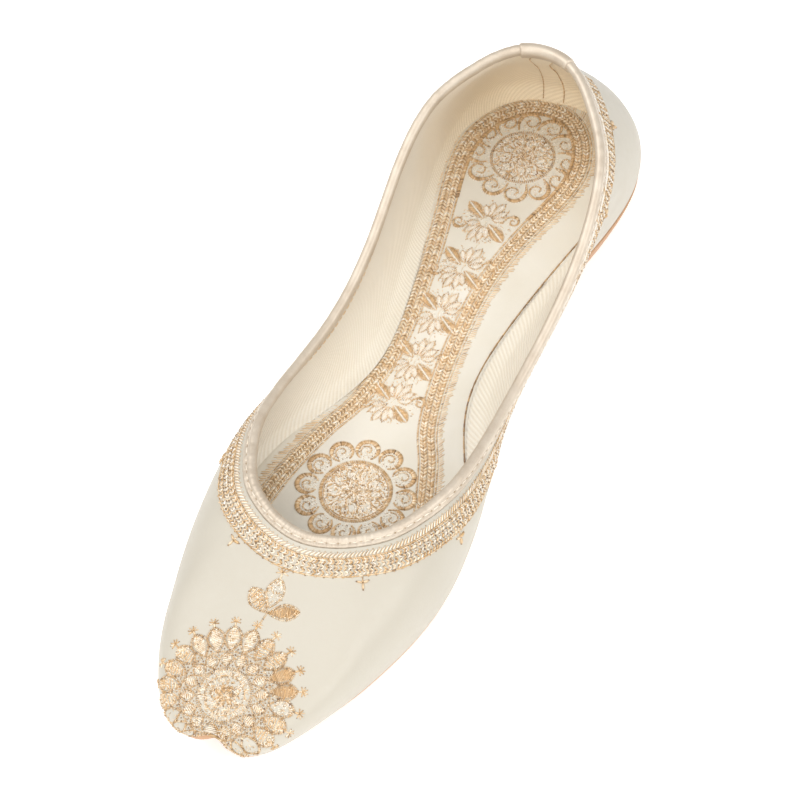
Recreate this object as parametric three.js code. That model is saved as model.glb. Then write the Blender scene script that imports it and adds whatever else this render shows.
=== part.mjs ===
// A mojari: a flat slip-on shoe with a hollow leather upper on a moulded rubber sole.
// Millimetres. Toe towards +X, heel towards -X, up +Z. The shoe stands on the plane z = 0.
import * as THREE from "three";

// Driving sizes of the last, and the thickness of what is built on it.
const LENGTH = 246;
const BALL_WIDTH = 73.6;
const BACK_HEIGHT = 58.4;
const WALL = 1.6;
const GAP = 0.3;

const SOLE = {
  heel: 11,
  forepart: 4.5,
  archLift: 2.6,
  toeSpring: 9.2,
  heelMargin: 0.4,
  toeMargin: -1.2,
  taper: 1.2,
  heelTaper: 2.5,
  bevel: 1,
};
const SOCK = { thickness: 2.6, clearance: 0.8 };
const BINDING = { thickness: 0.7, outerDepth: 4.4, innerDepth: 4.2 };
const PATCH = { thickness: 1.1, outerDepth: 5.2, innerDepth: 5, halfTurn: 0.8 };

// The strip's edge is a half round that starts this far below the collar's edge. The strip's inside ends
// ROOF higher.
const EDGE_DEPTH = WALL / 2 + GAP + BINDING.thickness;
const ROOF = 0.8;

// The shares of LENGTH at which the sole changes: the heel block's front, the arch, the toe's rise, and the
// heel's extra taper.
const HEEL_FRONT = 0.2;
const ARCH_TOP = 0.38;
const TREAD_START = 0.55;
const SPRING_START = 0.744;
const SPRING_END = 1.11;
const TAPER_FADES = 0.3;
const TAPER_GONE = 0.46;

// The heel's back is at this x.
const HEEL_X = -LENGTH / 2;
const TOE_X = LENGTH / 2;
const HALF_BALL = BALL_WIDTH / 2;

// The soft collar stands a little off the middle at the waist, and the toe has a cleft between two lobes.
const SWAY = { amount: 3.7, x: -38, spread: 46 };
const CLEFT = { depth: 4.6, halfWidth: 4.6, reach: 26 };

// One row for each meridian of the upper, from the heel's back round one side to the toe's middle.
// along and half are the feather line, where upper and sole meet: a fraction of LENGTH from the heel's back
// and a fraction of HALF_BALL. edgeAlong, edgeHalf and height are the collar's edge, with height a fraction
// of BACK_HEIGHT. rise is how far the wall keeps its first direction, in mm, and lean how much that leans
// out, in degrees from upright. run and dip are the same at the collar, with dip in degrees below level.
// steps is the number of facets from this row to the next.
const COLUMNS = ["along", "half", "edgeAlong", "edgeHalf", "height", "rise", "lean", "run", "dip", "steps"];
const MERIDIANS = [
  [0.003, 0, 0.079, 0, 1, 20, 11, 15, 72, 4],
  [0.021, 0.5, 0.094, 0.29, 0.997, 20, 11.5, 15, 73, 4],
  [0.073, 0.755, 0.138, 0.56, 0.957, 19, 12.5, 15, 76, 3],
  [0.145, 0.79, 0.192, 0.755, 0.896, 17, 16, 14, 80, 3],
  [0.24, 0.675, 0.267, 0.83, 0.78, 14, 28, 12, 84, 3],
  [0.34, 0.53, 0.348, 0.825, 0.635, 11, 46, 10, 86, 3],
  [0.45, 0.5, 0.445, 0.815, 0.525, 10, 50, 9, 86, 3],
  [0.55, 0.79, 0.535, 0.83, 0.522, 11, 31, 9, 72, 3],
  [0.64, 0.955, 0.612, 0.8, 0.563, 13, 17, 11, 42, 3],
  [0.725, 0.965, 0.665, 0.69, 0.579, 14, 14, 15, 26, 3],
  [0.81, 0.845, 0.702, 0.55, 0.586, 15, 19, 21, 18, 4],
  [0.882, 0.7, 0.722, 0.405, 0.589, 16, 24, 30, 14, 4],
  [0.942, 0.54, 0.735, 0.265, 0.592, 16, 29, 40, 12, 4],
  [0.982, 0.385, 0.742, 0.145, 0.595, 15, 30, 48, 12, 6],
  [0.998, 0.2, 0.745, 0.072, 0.598, 14, 29, 52, 12, 6],
  [1, 0, 0.746, 0, 0.599, 14, 29, 52, 12, 6],
].map((row) => Object.fromEntries(row.map((value, i) => [COLUMNS[i], value])));
const LAST_ROW = MERIDIANS.length - 1;
const RING_SIZE = 2 * LAST_ROW;

// The upper's levels, as shares of the way from the feather line to where the binding starts.
const LEVELS = [0, 0.1, 0.2, 0.31, 0.43, 0.57, 0.77, 1];

// The places across the sole and the sock, from one edge, -1, to the other.
const ACROSS = [-1, -0.62, -0.3, 0, 0.3, 0.62, 1];

const { smoothstep, degToRad, lerp } = THREE.MathUtils;
const alongX = (share) => HEEL_X + share * LENGTH;
const spring = (x) => 1.4 * SOLE.toeSpring * smoothstep(x, alongX(SPRING_START), alongX(SPRING_END));

// The sole's bottom: flat under heel and forefoot, arched between them, and rising at the toe.
function soleBottom(x) {
  const rise = smoothstep(x, alongX(HEEL_FRONT + 0.03), alongX(ARCH_TOP));
  const fall = 1 - smoothstep(x, alongX(ARCH_TOP + 0.06), alongX(TREAD_START));
  return SOLE.archLift * rise * fall + spring(x);
}

// The sole's top, on which upper and sock stand.
function soleTop(x) {
  const heel = 1 - smoothstep(x, alongX(HEEL_FRONT), alongX(0.48));
  return SOLE.forepart + (SOLE.heel - SOLE.forepart) * heel + spring(x);
}

// The control values of the uniform cubic B-spline that runs through a ring of values.
function splineControls(values) {
  const count = values.length;
  const controls = values.slice();
  for (let pass = 0; pass < 40; pass += 1) {
    for (let i = 0; i < count; i += 1) {
      const before = controls[(i + count - 1) % count];
      const after = controls[(i + 1) % count];
      controls[i] += values[i] - (before + 4 * controls[i] + after) / 6;
    }
  }
  return controls;
}

// The spline's value at u, where whole numbers are the rows.
function splineAt(controls, u) {
  const count = controls.length;
  const row = Math.floor(u);
  const f = u - row;
  const near = (k) => controls[(((row + k) % count) + count) % count];
  const before = (1 - f) ** 3 * near(-1);
  const here = (3 * f ** 3 - 6 * f ** 2 + 4) * near(0);
  const next = (-3 * f ** 3 + 3 * f ** 2 + 3 * f + 1) * near(1);
  return (before + here + next + f ** 3 * near(2)) / 6;
}

// The table as rings that run down one side of the shoe, -Y, and back up the other.
function ringControls(column) {
  const mirrored = column === "half" || column === "edgeHalf";
  const there = MERIDIANS.map((row) => (mirrored ? -row[column] : row[column]));
  const back = MERIDIANS.slice(1, -1).reverse().map((row) => row[column]);
  return splineControls([...there, ...back]);
}

const RING = Object.fromEntries(COLUMNS.map((column) => [column, ringControls(column)]));

function footLine(u) {
  return new THREE.Vector3(alongX(splineAt(RING.along, u)), HALF_BALL * splineAt(RING.half, u), 0);
}

function collarLine(u) {
  const x = alongX(splineAt(RING.edgeAlong, u));
  const sway = SWAY.amount * Math.exp(-(((x - SWAY.x) / SWAY.spread) ** 2));
  const y = HALF_BALL * splineAt(RING.edgeHalf, u) + sway;
  return new THREE.Vector3(x, y, BACK_HEIGHT * splineAt(RING.height, u));
}

// The level direction that points out of a closed line at u.
function outwards(line, u) {
  const step = 0.05;
  const tangent = line(u + step).sub(line(u - step));
  return new THREE.Vector3(tangent.y, -tangent.x, 0).normalize();
}

// The curve of the upper's outer face from the feather line to the collar's edge, kept for each u.
const madeMeridians = new Map();
function meridian(u) {
  if (!madeMeridians.has(u)) {
    const lean = degToRad(splineAt(RING.lean, u));
    const dip = degToRad(splineAt(RING.dip, u));
    const foot = footLine(u);
    foot.z = soleTop(foot.x) + GAP;
    const edge = collarLine(u);
    const first = outwards(footLine, u).multiplyScalar(Math.sin(lean)).setZ(Math.cos(lean));
    const last = outwards(collarLine, u).multiplyScalar(Math.cos(dip)).setZ(-Math.sin(dip));
    const afterFoot = foot.clone().addScaledVector(first, splineAt(RING.rise, u));
    const beforeEdge = edge.clone().addScaledVector(last, splineAt(RING.run, u));
    const curve = new THREE.CubicBezierCurve3(foot, afterFoot, beforeEdge, edge);
    curve.arcLengthDivisions = 60;
    madeMeridians.set(u, curve);
  }
  return madeMeridians.get(u);
}

// A point at level t of meridian u, moved out of the upper by an offset.
function wallPoint(u, t, offset) {
  const curve = meridian(u);
  const step = 0.02;
  const round = meridian(u + step).getPoint(t).sub(meridian(u - step).getPoint(t));
  const outward = round.cross(curve.getTangent(t)).normalize();
  return curve.getPoint(t).addScaledVector(outward, offset);
}

// The level that lies a given length of wall below the collar's edge.
function levelBelowEdge(u, depth) {
  const curve = meridian(u);
  return curve.getUtoTmapping(1 - depth / curve.getLength());
}

// The toe's cleft, as a bend of the whole shoe: points near the toe's middle are pulled back.
function cleft(point) {
  const near = smoothstep(point.x, TOE_X - CLEFT.reach, TOE_X);
  const middle = Math.exp(-((Math.abs(point.y) / CLEFT.halfWidth) ** 1.6));
  return point.clone().setX(point.x - CLEFT.depth * near * middle);
}

// A closed mesh from rings of points with their fronts the same way round. With no way of closing the ends,
// the last ring is joined to the first.
function loft(rings, endFaces = null) {
  const size = rings[0].length;
  const index = [];
  const joined = endFaces ? rings.length - 1 : rings.length;
  for (let i = 0; i < joined; i += 1) {
    const next = (i + 1) % rings.length;
    for (let k = 0; k < size; k += 1) {
      const after = (k + 1) % size;
      const corners = [i * size + k, i * size + after, next * size + after, next * size + k];
      index.push(corners[0], corners[2], corners[1], corners[0], corners[3], corners[2]);
    }
  }
  if (endFaces) {
    const last = (rings.length - 1) * size;
    endFaces(rings[0]).forEach(([a, b, c]) => index.push(a, b, c));
    endFaces(rings.at(-1)).forEach(([a, b, c]) => index.push(last + a, last + c, last + b));
  }
  const geometry = new THREE.BufferGeometry().setFromPoints(rings.flat().map(cleft));
  geometry.setIndex(index);
  geometry.computeVertexNormals();
  return geometry;
}

// The end faces of a bent section: its outline is laid flat and cut into triangles.
function cutFlat(ring) {
  const normal = new THREE.Vector3();
  ring.forEach((point, k) => normal.add(point.clone().cross(ring[(k + 1) % ring.length])));
  const flat = new THREE.Quaternion().setFromUnitVectors(normal.normalize(), new THREE.Vector3(0, 0, 1));
  const outline = ring.map((point) => point.clone().applyQuaternion(flat));
  return THREE.ShapeUtils.triangulateShape(outline.map((p) => new THREE.Vector2(p.x, p.y)), []);
}

// The end faces of a slab: rungs join the points of its bottom to those of its top.
function cutInRungs(ring) {
  const size = ring.length;
  const faces = [];
  for (let k = 0; k < size / 2; k += 1) {
    const [a, b, c, d] = [k, k + 1, size - k - 1, (size - k) % size];
    if (a !== d) faces.push([a, c, d]);
    if (b !== c) faces.push([a, b, c]);
  }
  return faces;
}

// The stations round the whole shoe, closer together where a row asks for more steps.
function stationsAround() {
  const half = stationsTo(LAST_ROW);
  const back = half.slice(1, -1).reverse().map((u) => RING_SIZE - u);
  return [...half, ...back];
}

function stationsTo(lastRow) {
  const rows = MERIDIANS.slice(0, lastRow);
  const stations = rows.flatMap((row, i) => Array.from({ length: row.steps }, (_, k) => i + k / row.steps));
  return [...stations, lastRow];
}

// The upper: its outer face up to the rim under the binding, and its inner face back down.
function makeUpper() {
  const rings = stationsAround().map((u) => {
    const underStrip = levelBelowEdge(u, PATCH.outerDepth);
    const rim = levelBelowEdge(u, EDGE_DEPTH - ROOF + GAP);
    const halfway = levelBelowEdge(u, halfWayDown(PATCH.outerDepth));
    const levels = [...LEVELS.map((level) => level * underStrip), halfway, rim];
    const outer = levels.map((level) => wallPoint(u, level, 0));
    const inner = levels.map((level) => wallPoint(u, level, -WALL));
    inner[0].setZ(soleTop(inner[0].x) + GAP);
    return [...outer, ...inner.reverse()];
  });
  return loft(rings);
}

const halfWayDown = (depth) => (EDGE_DEPTH + depth) / 2;

// The section of a folded strip over the rim at station u: up its outer face, over, down its inner face, and
// back along the side that lies on the upper.
function stripSection(u, strip) {
  const middle = -WALL / 2;
  const radius = WALL / 2 + GAP + strip.thickness;
  const base = levelBelowEdge(u, EDGE_DEPTH);
  const up = meridian(u).getTangent(base);
  const above = (height, offset) => wallPoint(u, base, offset).addScaledVector(up, height);
  const below = (depth, offset) => wallPoint(u, levelBelowEdge(u, depth), offset);
  const downTo = (depth) => [EDGE_DEPTH, halfWayDown(depth), depth];
  const rounded = [35, 70, 110, 145].map(degToRad);
  return [
    below(strip.outerDepth, GAP),
    ...downTo(strip.outerDepth).reverse().map((depth) => below(depth, middle + radius)),
    ...rounded.map((turn) => above(radius * Math.sin(turn), middle + radius * Math.cos(turn))),
    ...downTo(strip.innerDepth).map((depth) => below(depth, middle - radius)),
    below(strip.innerDepth, -WALL - GAP),
    below(halfWayDown(strip.innerDepth), -WALL - GAP),
    above(ROOF, -WALL - GAP),
    above(ROOF, GAP),
    below(halfWayDown(strip.outerDepth), GAP),
  ];
}

function makeBinding() {
  const start = PATCH.halfTurn + 0.035;
  const middle = stationsAround().filter((u) => u > start + 0.1 && u < RING_SIZE - start - 0.1);
  const stations = [start, ...middle, RING_SIZE - start];
  return loft(stations.map((u) => stripSection(u, BINDING)), cutFlat);
}

function makePatch() {
  const turns = [-1, -0.6, -0.2, 0.2, 0.6, 1].map((share) => share * PATCH.halfTurn);
  return loft(turns.map((u) => stripSection(u, PATCH)), cutFlat);
}

// A rib across the shoe at station u: a row of points from side to side, at a distance outside the foot line.
function rib(u, outside, heightAt) {
  const edge = footLine(u).addScaledVector(outwards(footLine, u), outside);
  return ACROSS.map((share) => new THREE.Vector3(edge.x, -share * edge.y, heightAt(edge.x)));
}

// The stations of the ribs, which end just short of the heel's back and of the toe's middle. The outline is
// nearly straight across there.
function ribStations() {
  const stations = stationsTo(LAST_ROW - 1);
  stations[0] = 0.1;
  return stations;
}

// How far the sole's sides slope in towards the floor: more under the heel than in front.
function taperAt(u) {
  const fade = smoothstep(footLine(u).x, alongX(TAPER_FADES), alongX(TAPER_GONE));
  return lerp(SOLE.taper + SOLE.heelTaper, SOLE.taper, fade);
}

function makeOutsole() {
  const { bevel } = SOLE;
  const rings = ribStations().map((u) => {
    const margin = lerp(SOLE.heelMargin, SOLE.toeMargin, smoothstep(u, 3, LAST_ROW));
    const taper = taperAt(u);
    const bottom = rib(u, margin - taper - bevel, soleBottom);
    const edge = rib(u, margin - taper, (x) => soleBottom(x) + bevel);
    const top = rib(u, margin, soleTop);
    return [edge.at(-1), ...bottom.reverse(), edge[0], ...top];
  });
  return loft(rings, cutInRungs);
}

// The sock pad: a thin pad inside the upper, with its top edge rounded off.
function makeSock() {
  const inside = -(WALL + SOCK.clearance);
  const lowest = (x) => soleTop(x) + GAP;
  const rings = ribStations().map((u) => {
    const bottom = rib(u, inside, lowest);
    const shoulder = rib(u, inside, (x) => lowest(x) + 0.6 * SOCK.thickness);
    const top = rib(u, inside - 1, (x) => lowest(x) + SOCK.thickness);
    return [shoulder.at(-1), ...bottom.reverse(), shoulder[0], ...top];
  });
  return loft(rings, cutInRungs);
}

const cream = new THREE.MeshStandardMaterial({ color: 0xe9dfcf, roughness: 0.45 });
const paleGold = new THREE.MeshStandardMaterial({ color: 0xdcc39a, roughness: 0.35, metalness: 0.3 });
const sockCream = new THREE.MeshStandardMaterial({ color: 0xe6d9bd, roughness: 0.8 });
const tan = new THREE.MeshStandardMaterial({ color: 0xc49468, roughness: 0.7 });

const PIECES = [
  { name: "outsole", make: makeOutsole, material: tan },
  { name: "upper", make: makeUpper, material: cream },
  { name: "insole", make: makeSock, material: sockCream },
  { name: "collar_binding", make: makeBinding, material: paleGold },
  { name: "binding_patch", make: makePatch, material: paleGold },
];

const mojari = new THREE.Group();
for (const piece of PIECES) {
  const mesh = new THREE.Mesh(piece.make(), piece.material);
  mesh.name = piece.name;
  mojari.add(mesh);
}

export default mojari;
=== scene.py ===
"""The looks of the mojari shoe: leather, lining, binding, sock pad, moulded sole and all its embroidery.

Shapes are worked out in millimetres from the same sizes and the same table of sections as the CAD model,
and turned into metres when a mesh is made.
"""

import math

import bpy
import numpy as np
from mathutils import Matrix, Vector
from mathutils.bvhtree import BVHTree


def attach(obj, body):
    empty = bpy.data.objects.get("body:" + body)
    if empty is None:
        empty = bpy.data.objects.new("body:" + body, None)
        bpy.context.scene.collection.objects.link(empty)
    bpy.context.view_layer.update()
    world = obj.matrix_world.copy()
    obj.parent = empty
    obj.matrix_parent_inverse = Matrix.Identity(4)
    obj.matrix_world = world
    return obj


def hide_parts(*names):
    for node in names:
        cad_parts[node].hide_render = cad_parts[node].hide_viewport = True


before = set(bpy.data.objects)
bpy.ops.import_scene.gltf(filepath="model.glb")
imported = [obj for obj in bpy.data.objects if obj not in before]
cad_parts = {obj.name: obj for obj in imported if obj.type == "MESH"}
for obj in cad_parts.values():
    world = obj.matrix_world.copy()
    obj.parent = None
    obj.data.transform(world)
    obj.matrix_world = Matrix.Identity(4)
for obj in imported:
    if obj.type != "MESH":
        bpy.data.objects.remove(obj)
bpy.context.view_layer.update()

MM = 0.001
RNG = np.random.default_rng(20)

# ------------------------------------------------------------------ sizes shared with the CAD model, in mm
LENGTH = 246
BALL_WIDTH = 73.6
BACK_HEIGHT = 58.4
WALL = 1.6
GAP = 0.3
SOLE_HEEL = 11
SOLE_FOREPART = 4.5
ARCH_LIFT = 2.6
TOE_SPRING = 9.2
HEEL_MARGIN = 0.4
TOE_MARGIN = -1.2
SOLE_TAPER = 1.2
HEEL_TAPER = 2.5
SOLE_BEVEL = 1
SOCK_THICKNESS = 2.6
BINDING_OUTER = 4.4
BINDING_INNER = 4.2
PATCH_OUTER = 5.2
PATCH_INNER = 5
PATCH_HALF_TURN = 0.8
CRUST = WALL / 2 + GAP + 0.7
HEEL_FRONT = 0.2
ARCH_TOP = 0.38
TREAD_START = 0.55
SPRING_SCALE = 1.4
SPRING_START = 0.744
SPRING_END = 1.11
HEEL_X = -LENGTH / 2
TOE_X = LENGTH / 2
HALF_BALL = BALL_WIDTH / 2
SWAY = {"amount": 3.7, "x": -38, "spread": 46}
CLEFT = {"depth": 4.6, "half_width": 4.6, "reach": 26}

# One row for each meridian of the upper, from the heel's back to the toe's middle, as in the CAD model.
COLUMNS = ("along", "half", "edge_along", "edge_half", "height", "rise", "lean", "run", "dip")
MERIDIANS = np.array(
    [
        (0.003, 0, 0.079, 0, 1, 20, 11, 15, 72),
        (0.021, 0.5, 0.094, 0.29, 0.997, 20, 11.5, 15, 73),
        (0.073, 0.755, 0.138, 0.56, 0.957, 19, 12.5, 15, 76),
        (0.145, 0.79, 0.192, 0.755, 0.896, 17, 16, 14, 80),
        (0.24, 0.675, 0.267, 0.83, 0.78, 14, 28, 12, 84),
        (0.34, 0.53, 0.348, 0.825, 0.635, 11, 46, 10, 86),
        (0.45, 0.5, 0.445, 0.815, 0.525, 10, 50, 9, 86),
        (0.55, 0.79, 0.535, 0.83, 0.522, 11, 31, 9, 72),
        (0.64, 0.955, 0.612, 0.8, 0.563, 13, 17, 11, 42),
        (0.725, 0.965, 0.665, 0.69, 0.579, 14, 14, 15, 26),
        (0.81, 0.845, 0.702, 0.55, 0.586, 15, 19, 21, 18),
        (0.882, 0.7, 0.722, 0.405, 0.589, 16, 24, 30, 14),
        (0.942, 0.54, 0.735, 0.265, 0.592, 16, 29, 40, 12),
        (0.982, 0.385, 0.742, 0.145, 0.595, 15, 30, 48, 12),
        (0.998, 0.2, 0.745, 0.072, 0.598, 14, 29, 52, 12),
        (1, 0, 0.746, 0, 0.599, 14, 29, 52, 12),
    ]
)
LAST_ROW = len(MERIDIANS) - 1
RING_SIZE = 2 * LAST_ROW


# ------------------------------------------------------------------ the last: lines and surfaces of the shoe
def smoothstep(value, low, high):
    share = np.clip((value - low) / (high - low), 0, 1)
    return share * share * (3 - 2 * share)


def unit(vectors):
    return vectors / np.maximum(np.linalg.norm(vectors, axis=-1, keepdims=True), 1e-9)


def run_lengths(path):
    """How far along a path each of its points is."""
    return np.concatenate([[0], np.cumsum(np.linalg.norm(np.diff(path, axis=0), axis=1))])


def stations(*spans):
    """Rows of a piece, from a start, an end and a count for each span. A span ends where the next starts."""
    return np.concatenate([np.linspace(*span)[:-1] for span in spans[:-1]] + [np.linspace(*spans[-1])])


def turns(count, first=0.0):
    """Even turns all the way round, in radians."""
    return [2 * math.pi * k / count + first for k in range(count)]


def along_x(share):
    return HEEL_X + share * LENGTH


def spring(x):
    return SPRING_SCALE * TOE_SPRING * smoothstep(x, along_x(SPRING_START), along_x(SPRING_END))


def sole_bottom(x):
    rise = smoothstep(x, along_x(HEEL_FRONT + 0.03), along_x(ARCH_TOP))
    fall = 1 - smoothstep(x, along_x(ARCH_TOP + 0.06), along_x(TREAD_START))
    return ARCH_LIFT * rise * fall + spring(x)


def sole_top(x):
    heel = 1 - smoothstep(x, along_x(HEEL_FRONT), along_x(0.48))
    return SOLE_FOREPART + (SOLE_HEEL - SOLE_FOREPART) * heel + spring(x)


def spline_controls(values):
    """The controls of the uniform cubic B-spline that runs through a ring of values."""
    count = len(values)
    weights = np.zeros((count, count))
    for i in range(count):
        weights[i, i - 1] = 1 / 6
        weights[i, i] = 4 / 6
        weights[i, (i + 1) % count] = 1 / 6
    return np.linalg.solve(weights, values)


def spline_at(controls, u):
    row = np.floor(u).astype(int)
    f = u - row
    before, here, after, last = (controls[(row + k) % len(controls)] for k in (-1, 0, 1, 2))
    blend = (1 - f) ** 3 * before + (3 * f**3 - 6 * f**2 + 4) * here
    return (blend + (-3 * f**3 + 3 * f**2 + 3 * f + 1) * after + f**3 * last) / 6


def ring_controls(name):
    column = MERIDIANS[:, COLUMNS.index(name)]
    there = -column if name in ("half", "edge_half") else column
    return spline_controls(np.concatenate([there, column[1:-1][::-1]]))


RING = {name: ring_controls(name) for name in COLUMNS}


def foot_line(u):
    """The feather line, where upper and sole meet, seen from above."""
    x = along_x(spline_at(RING["along"], u))
    return np.stack([x, HALF_BALL * spline_at(RING["half"], u), 0 * x], -1)


def collar_line(u):
    x = along_x(spline_at(RING["edge_along"], u))
    sway = SWAY["amount"] * np.exp(-(((x - SWAY["x"]) / SWAY["spread"]) ** 2))
    y = HALF_BALL * spline_at(RING["edge_half"], u) + sway
    return np.stack([x, y, BACK_HEIGHT * spline_at(RING["height"], u)], -1)


def outwards(line, u):
    tangent = line(u + 0.05) - line(u - 0.05)
    return unit(np.stack([tangent[..., 1], -tangent[..., 0], 0 * u], -1))


def meridians(u):
    """The four controls of each wall curve, from the feather line to the collar's edge."""
    lean = np.radians(spline_at(RING["lean"], u))[:, None]
    dip = np.radians(spline_at(RING["dip"], u))[:, None]
    foot = foot_line(u)
    foot[:, 2] = sole_top(foot[:, 0]) + GAP
    edge = collar_line(u)
    up = np.array([0, 0, 1])
    first = outwards(foot_line, u) * np.sin(lean) + up * np.cos(lean)
    last = outwards(collar_line, u) * np.cos(dip) - up * np.sin(dip)
    after_foot = foot + first * spline_at(RING["rise"], u)[:, None]
    before_edge = edge + last * spline_at(RING["run"], u)[:, None]
    return np.stack([foot, after_foot, before_edge, edge], 1)


def bezier(controls, t):
    weights = np.stack([(1 - t) ** 3, 3 * (1 - t) ** 2 * t, 3 * (1 - t) * t**2, t**3], -1)
    return np.einsum("nmk,nkc->nmc", weights, controls)


def bezier_slope(controls, t):
    steps = np.diff(controls, axis=1)
    weights = np.stack([3 * (1 - t) ** 2, 6 * (1 - t) * t, 3 * t**2], -1)
    return np.einsum("nmk,nkc->nmc", weights, steps)


def wall(u, t, offset):
    """Points of the upper's wall at level t of meridian u, moved outwards, and the wall's outward normals."""
    here = meridians(u)
    step = 0.02
    around = bezier(meridians(u + step), t) - bezier(meridians(u - step), t)
    normal = unit(np.cross(around, bezier_slope(here, t)))
    return bezier(here, t) + normal * np.asarray(offset)[..., None], normal


def wall_lengths(u):
    """For each meridian, levels and how far each lies below the collar's edge along the wall, downwards."""
    t = np.linspace(1, 0, 241)
    points = bezier(meridians(u), np.broadcast_to(t, (len(u), len(t))))
    steps = np.linalg.norm(np.diff(points, axis=1), axis=-1)
    return t, np.concatenate([np.zeros((len(u), 1)), np.cumsum(steps, axis=1)], axis=1)


def levels_below(u, depths):
    """The levels that lie given lengths of wall below the collar's edge, for each meridian."""
    t, lengths = wall_lengths(u)
    depths = np.broadcast_to(depths, (len(u), np.shape(depths)[-1]))
    return np.stack([np.interp(depth, length, t) for depth, length in zip(depths, lengths)])


def cleft(points):
    """The toe's cleft, as a bend of the whole shoe: points near the toe's middle are pulled back."""
    near = smoothstep(points[..., 0], TOE_X - CLEFT["reach"], TOE_X)
    middle = np.exp(-((np.abs(points[..., 1]) / CLEFT["half_width"]) ** 1.6))
    bent = points.copy()
    bent[..., 0] -= CLEFT["depth"] * near * middle
    return bent


# ------------------------------------------------------------------ meshes
def new_piece(name, points, faces, material, replaces=(), uv=None, tones=None):
    """A smooth piece from points in mm, which rides on the shoe's one body. An end face stays flat."""
    mesh = bpy.data.meshes.new(name)
    mesh.from_pydata((points * MM).tolist(), [], faces)
    mesh.polygons.foreach_set("use_smooth", [len(face) <= 4 for face in faces])
    if uv is not None:
        layer = mesh.uv_layers.new(name="wall")
        corners = np.empty(len(mesh.loops), dtype=np.int32)
        mesh.loops.foreach_get("vertex_index", corners)
        layer.data.foreach_set("uv", uv[corners].astype(np.float32).ravel())
    if tones is not None:
        attribute = mesh.attributes.new("tone", "FLOAT", "POINT")
        attribute.data.foreach_set("value", tones.astype(np.float32))
    mesh.materials.append(material)
    mesh.update()
    piece = bpy.data.objects.new(name, mesh)
    bpy.context.scene.collection.objects.link(piece)
    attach(piece, "root")
    if replaces:
        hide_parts(*replaces)
    return piece


def grid_faces(rings, size, joined, closed):
    """Quads between rings of points: joined if the last meets the first, closed if each ring is a loop."""
    i = np.arange(rings if joined else rings - 1)[:, None]
    k = np.arange(size if closed else size - 1)[None, :]
    after_i = (i + 1) % rings
    after_k = (k + 1) % size
    corners = [i * size + k, after_i * size + k, after_i * size + after_k, i * size + after_k]
    return np.stack([np.broadcast_to(c, (i.size, k.size)).ravel() for c in corners], -1).tolist()


def ring_piece(name, rings, material, replaces=(), capped=False, **layers):
    """A piece made of closed rings: the last ring meets the first, or a flat face caps each end."""
    count, size = rings.shape[:2]
    faces = grid_faces(count, size, joined=not capped, closed=True)
    if capped:
        end = count * size - 1
        faces += [tuple(range(size)), tuple(range(end, end - size, -1))]
    return new_piece(name, rings.reshape(-1, 3), faces, material, replaces, **layers)


class Surface:
    """A grid of points and normals, and a rule that turns a pattern's coordinates into places on the grid."""

    def __init__(self, points, normals, find, wraps=False):
        self.points = points
        self.normals = normals
        self.find = find
        self.wraps = wraps

    def at(self, coords):
        i, k = self.find(np.asarray(coords, dtype=float))
        rows, columns = self.points.shape[:2]
        i = i % rows if self.wraps else np.clip(i, 0, rows - 1.001)
        k = np.clip(k, 0, columns - 1.001)
        row, column = np.floor(i).astype(int), np.floor(k).astype(int)
        after = (row + 1) % rows
        down, along = (i - row)[..., None], (k - column)[..., None]

        def mix(values):
            near = values[row, column] * (1 - along) + values[row, column + 1] * along
            far = values[after, column] * (1 - along) + values[after, column + 1] * along
            return near * (1 - down) + far * down

        return mix(self.points), unit(mix(self.normals))


# The part of a noise's range that most of its values lie in.
CLOUD = (0.3, 0.7)


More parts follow.
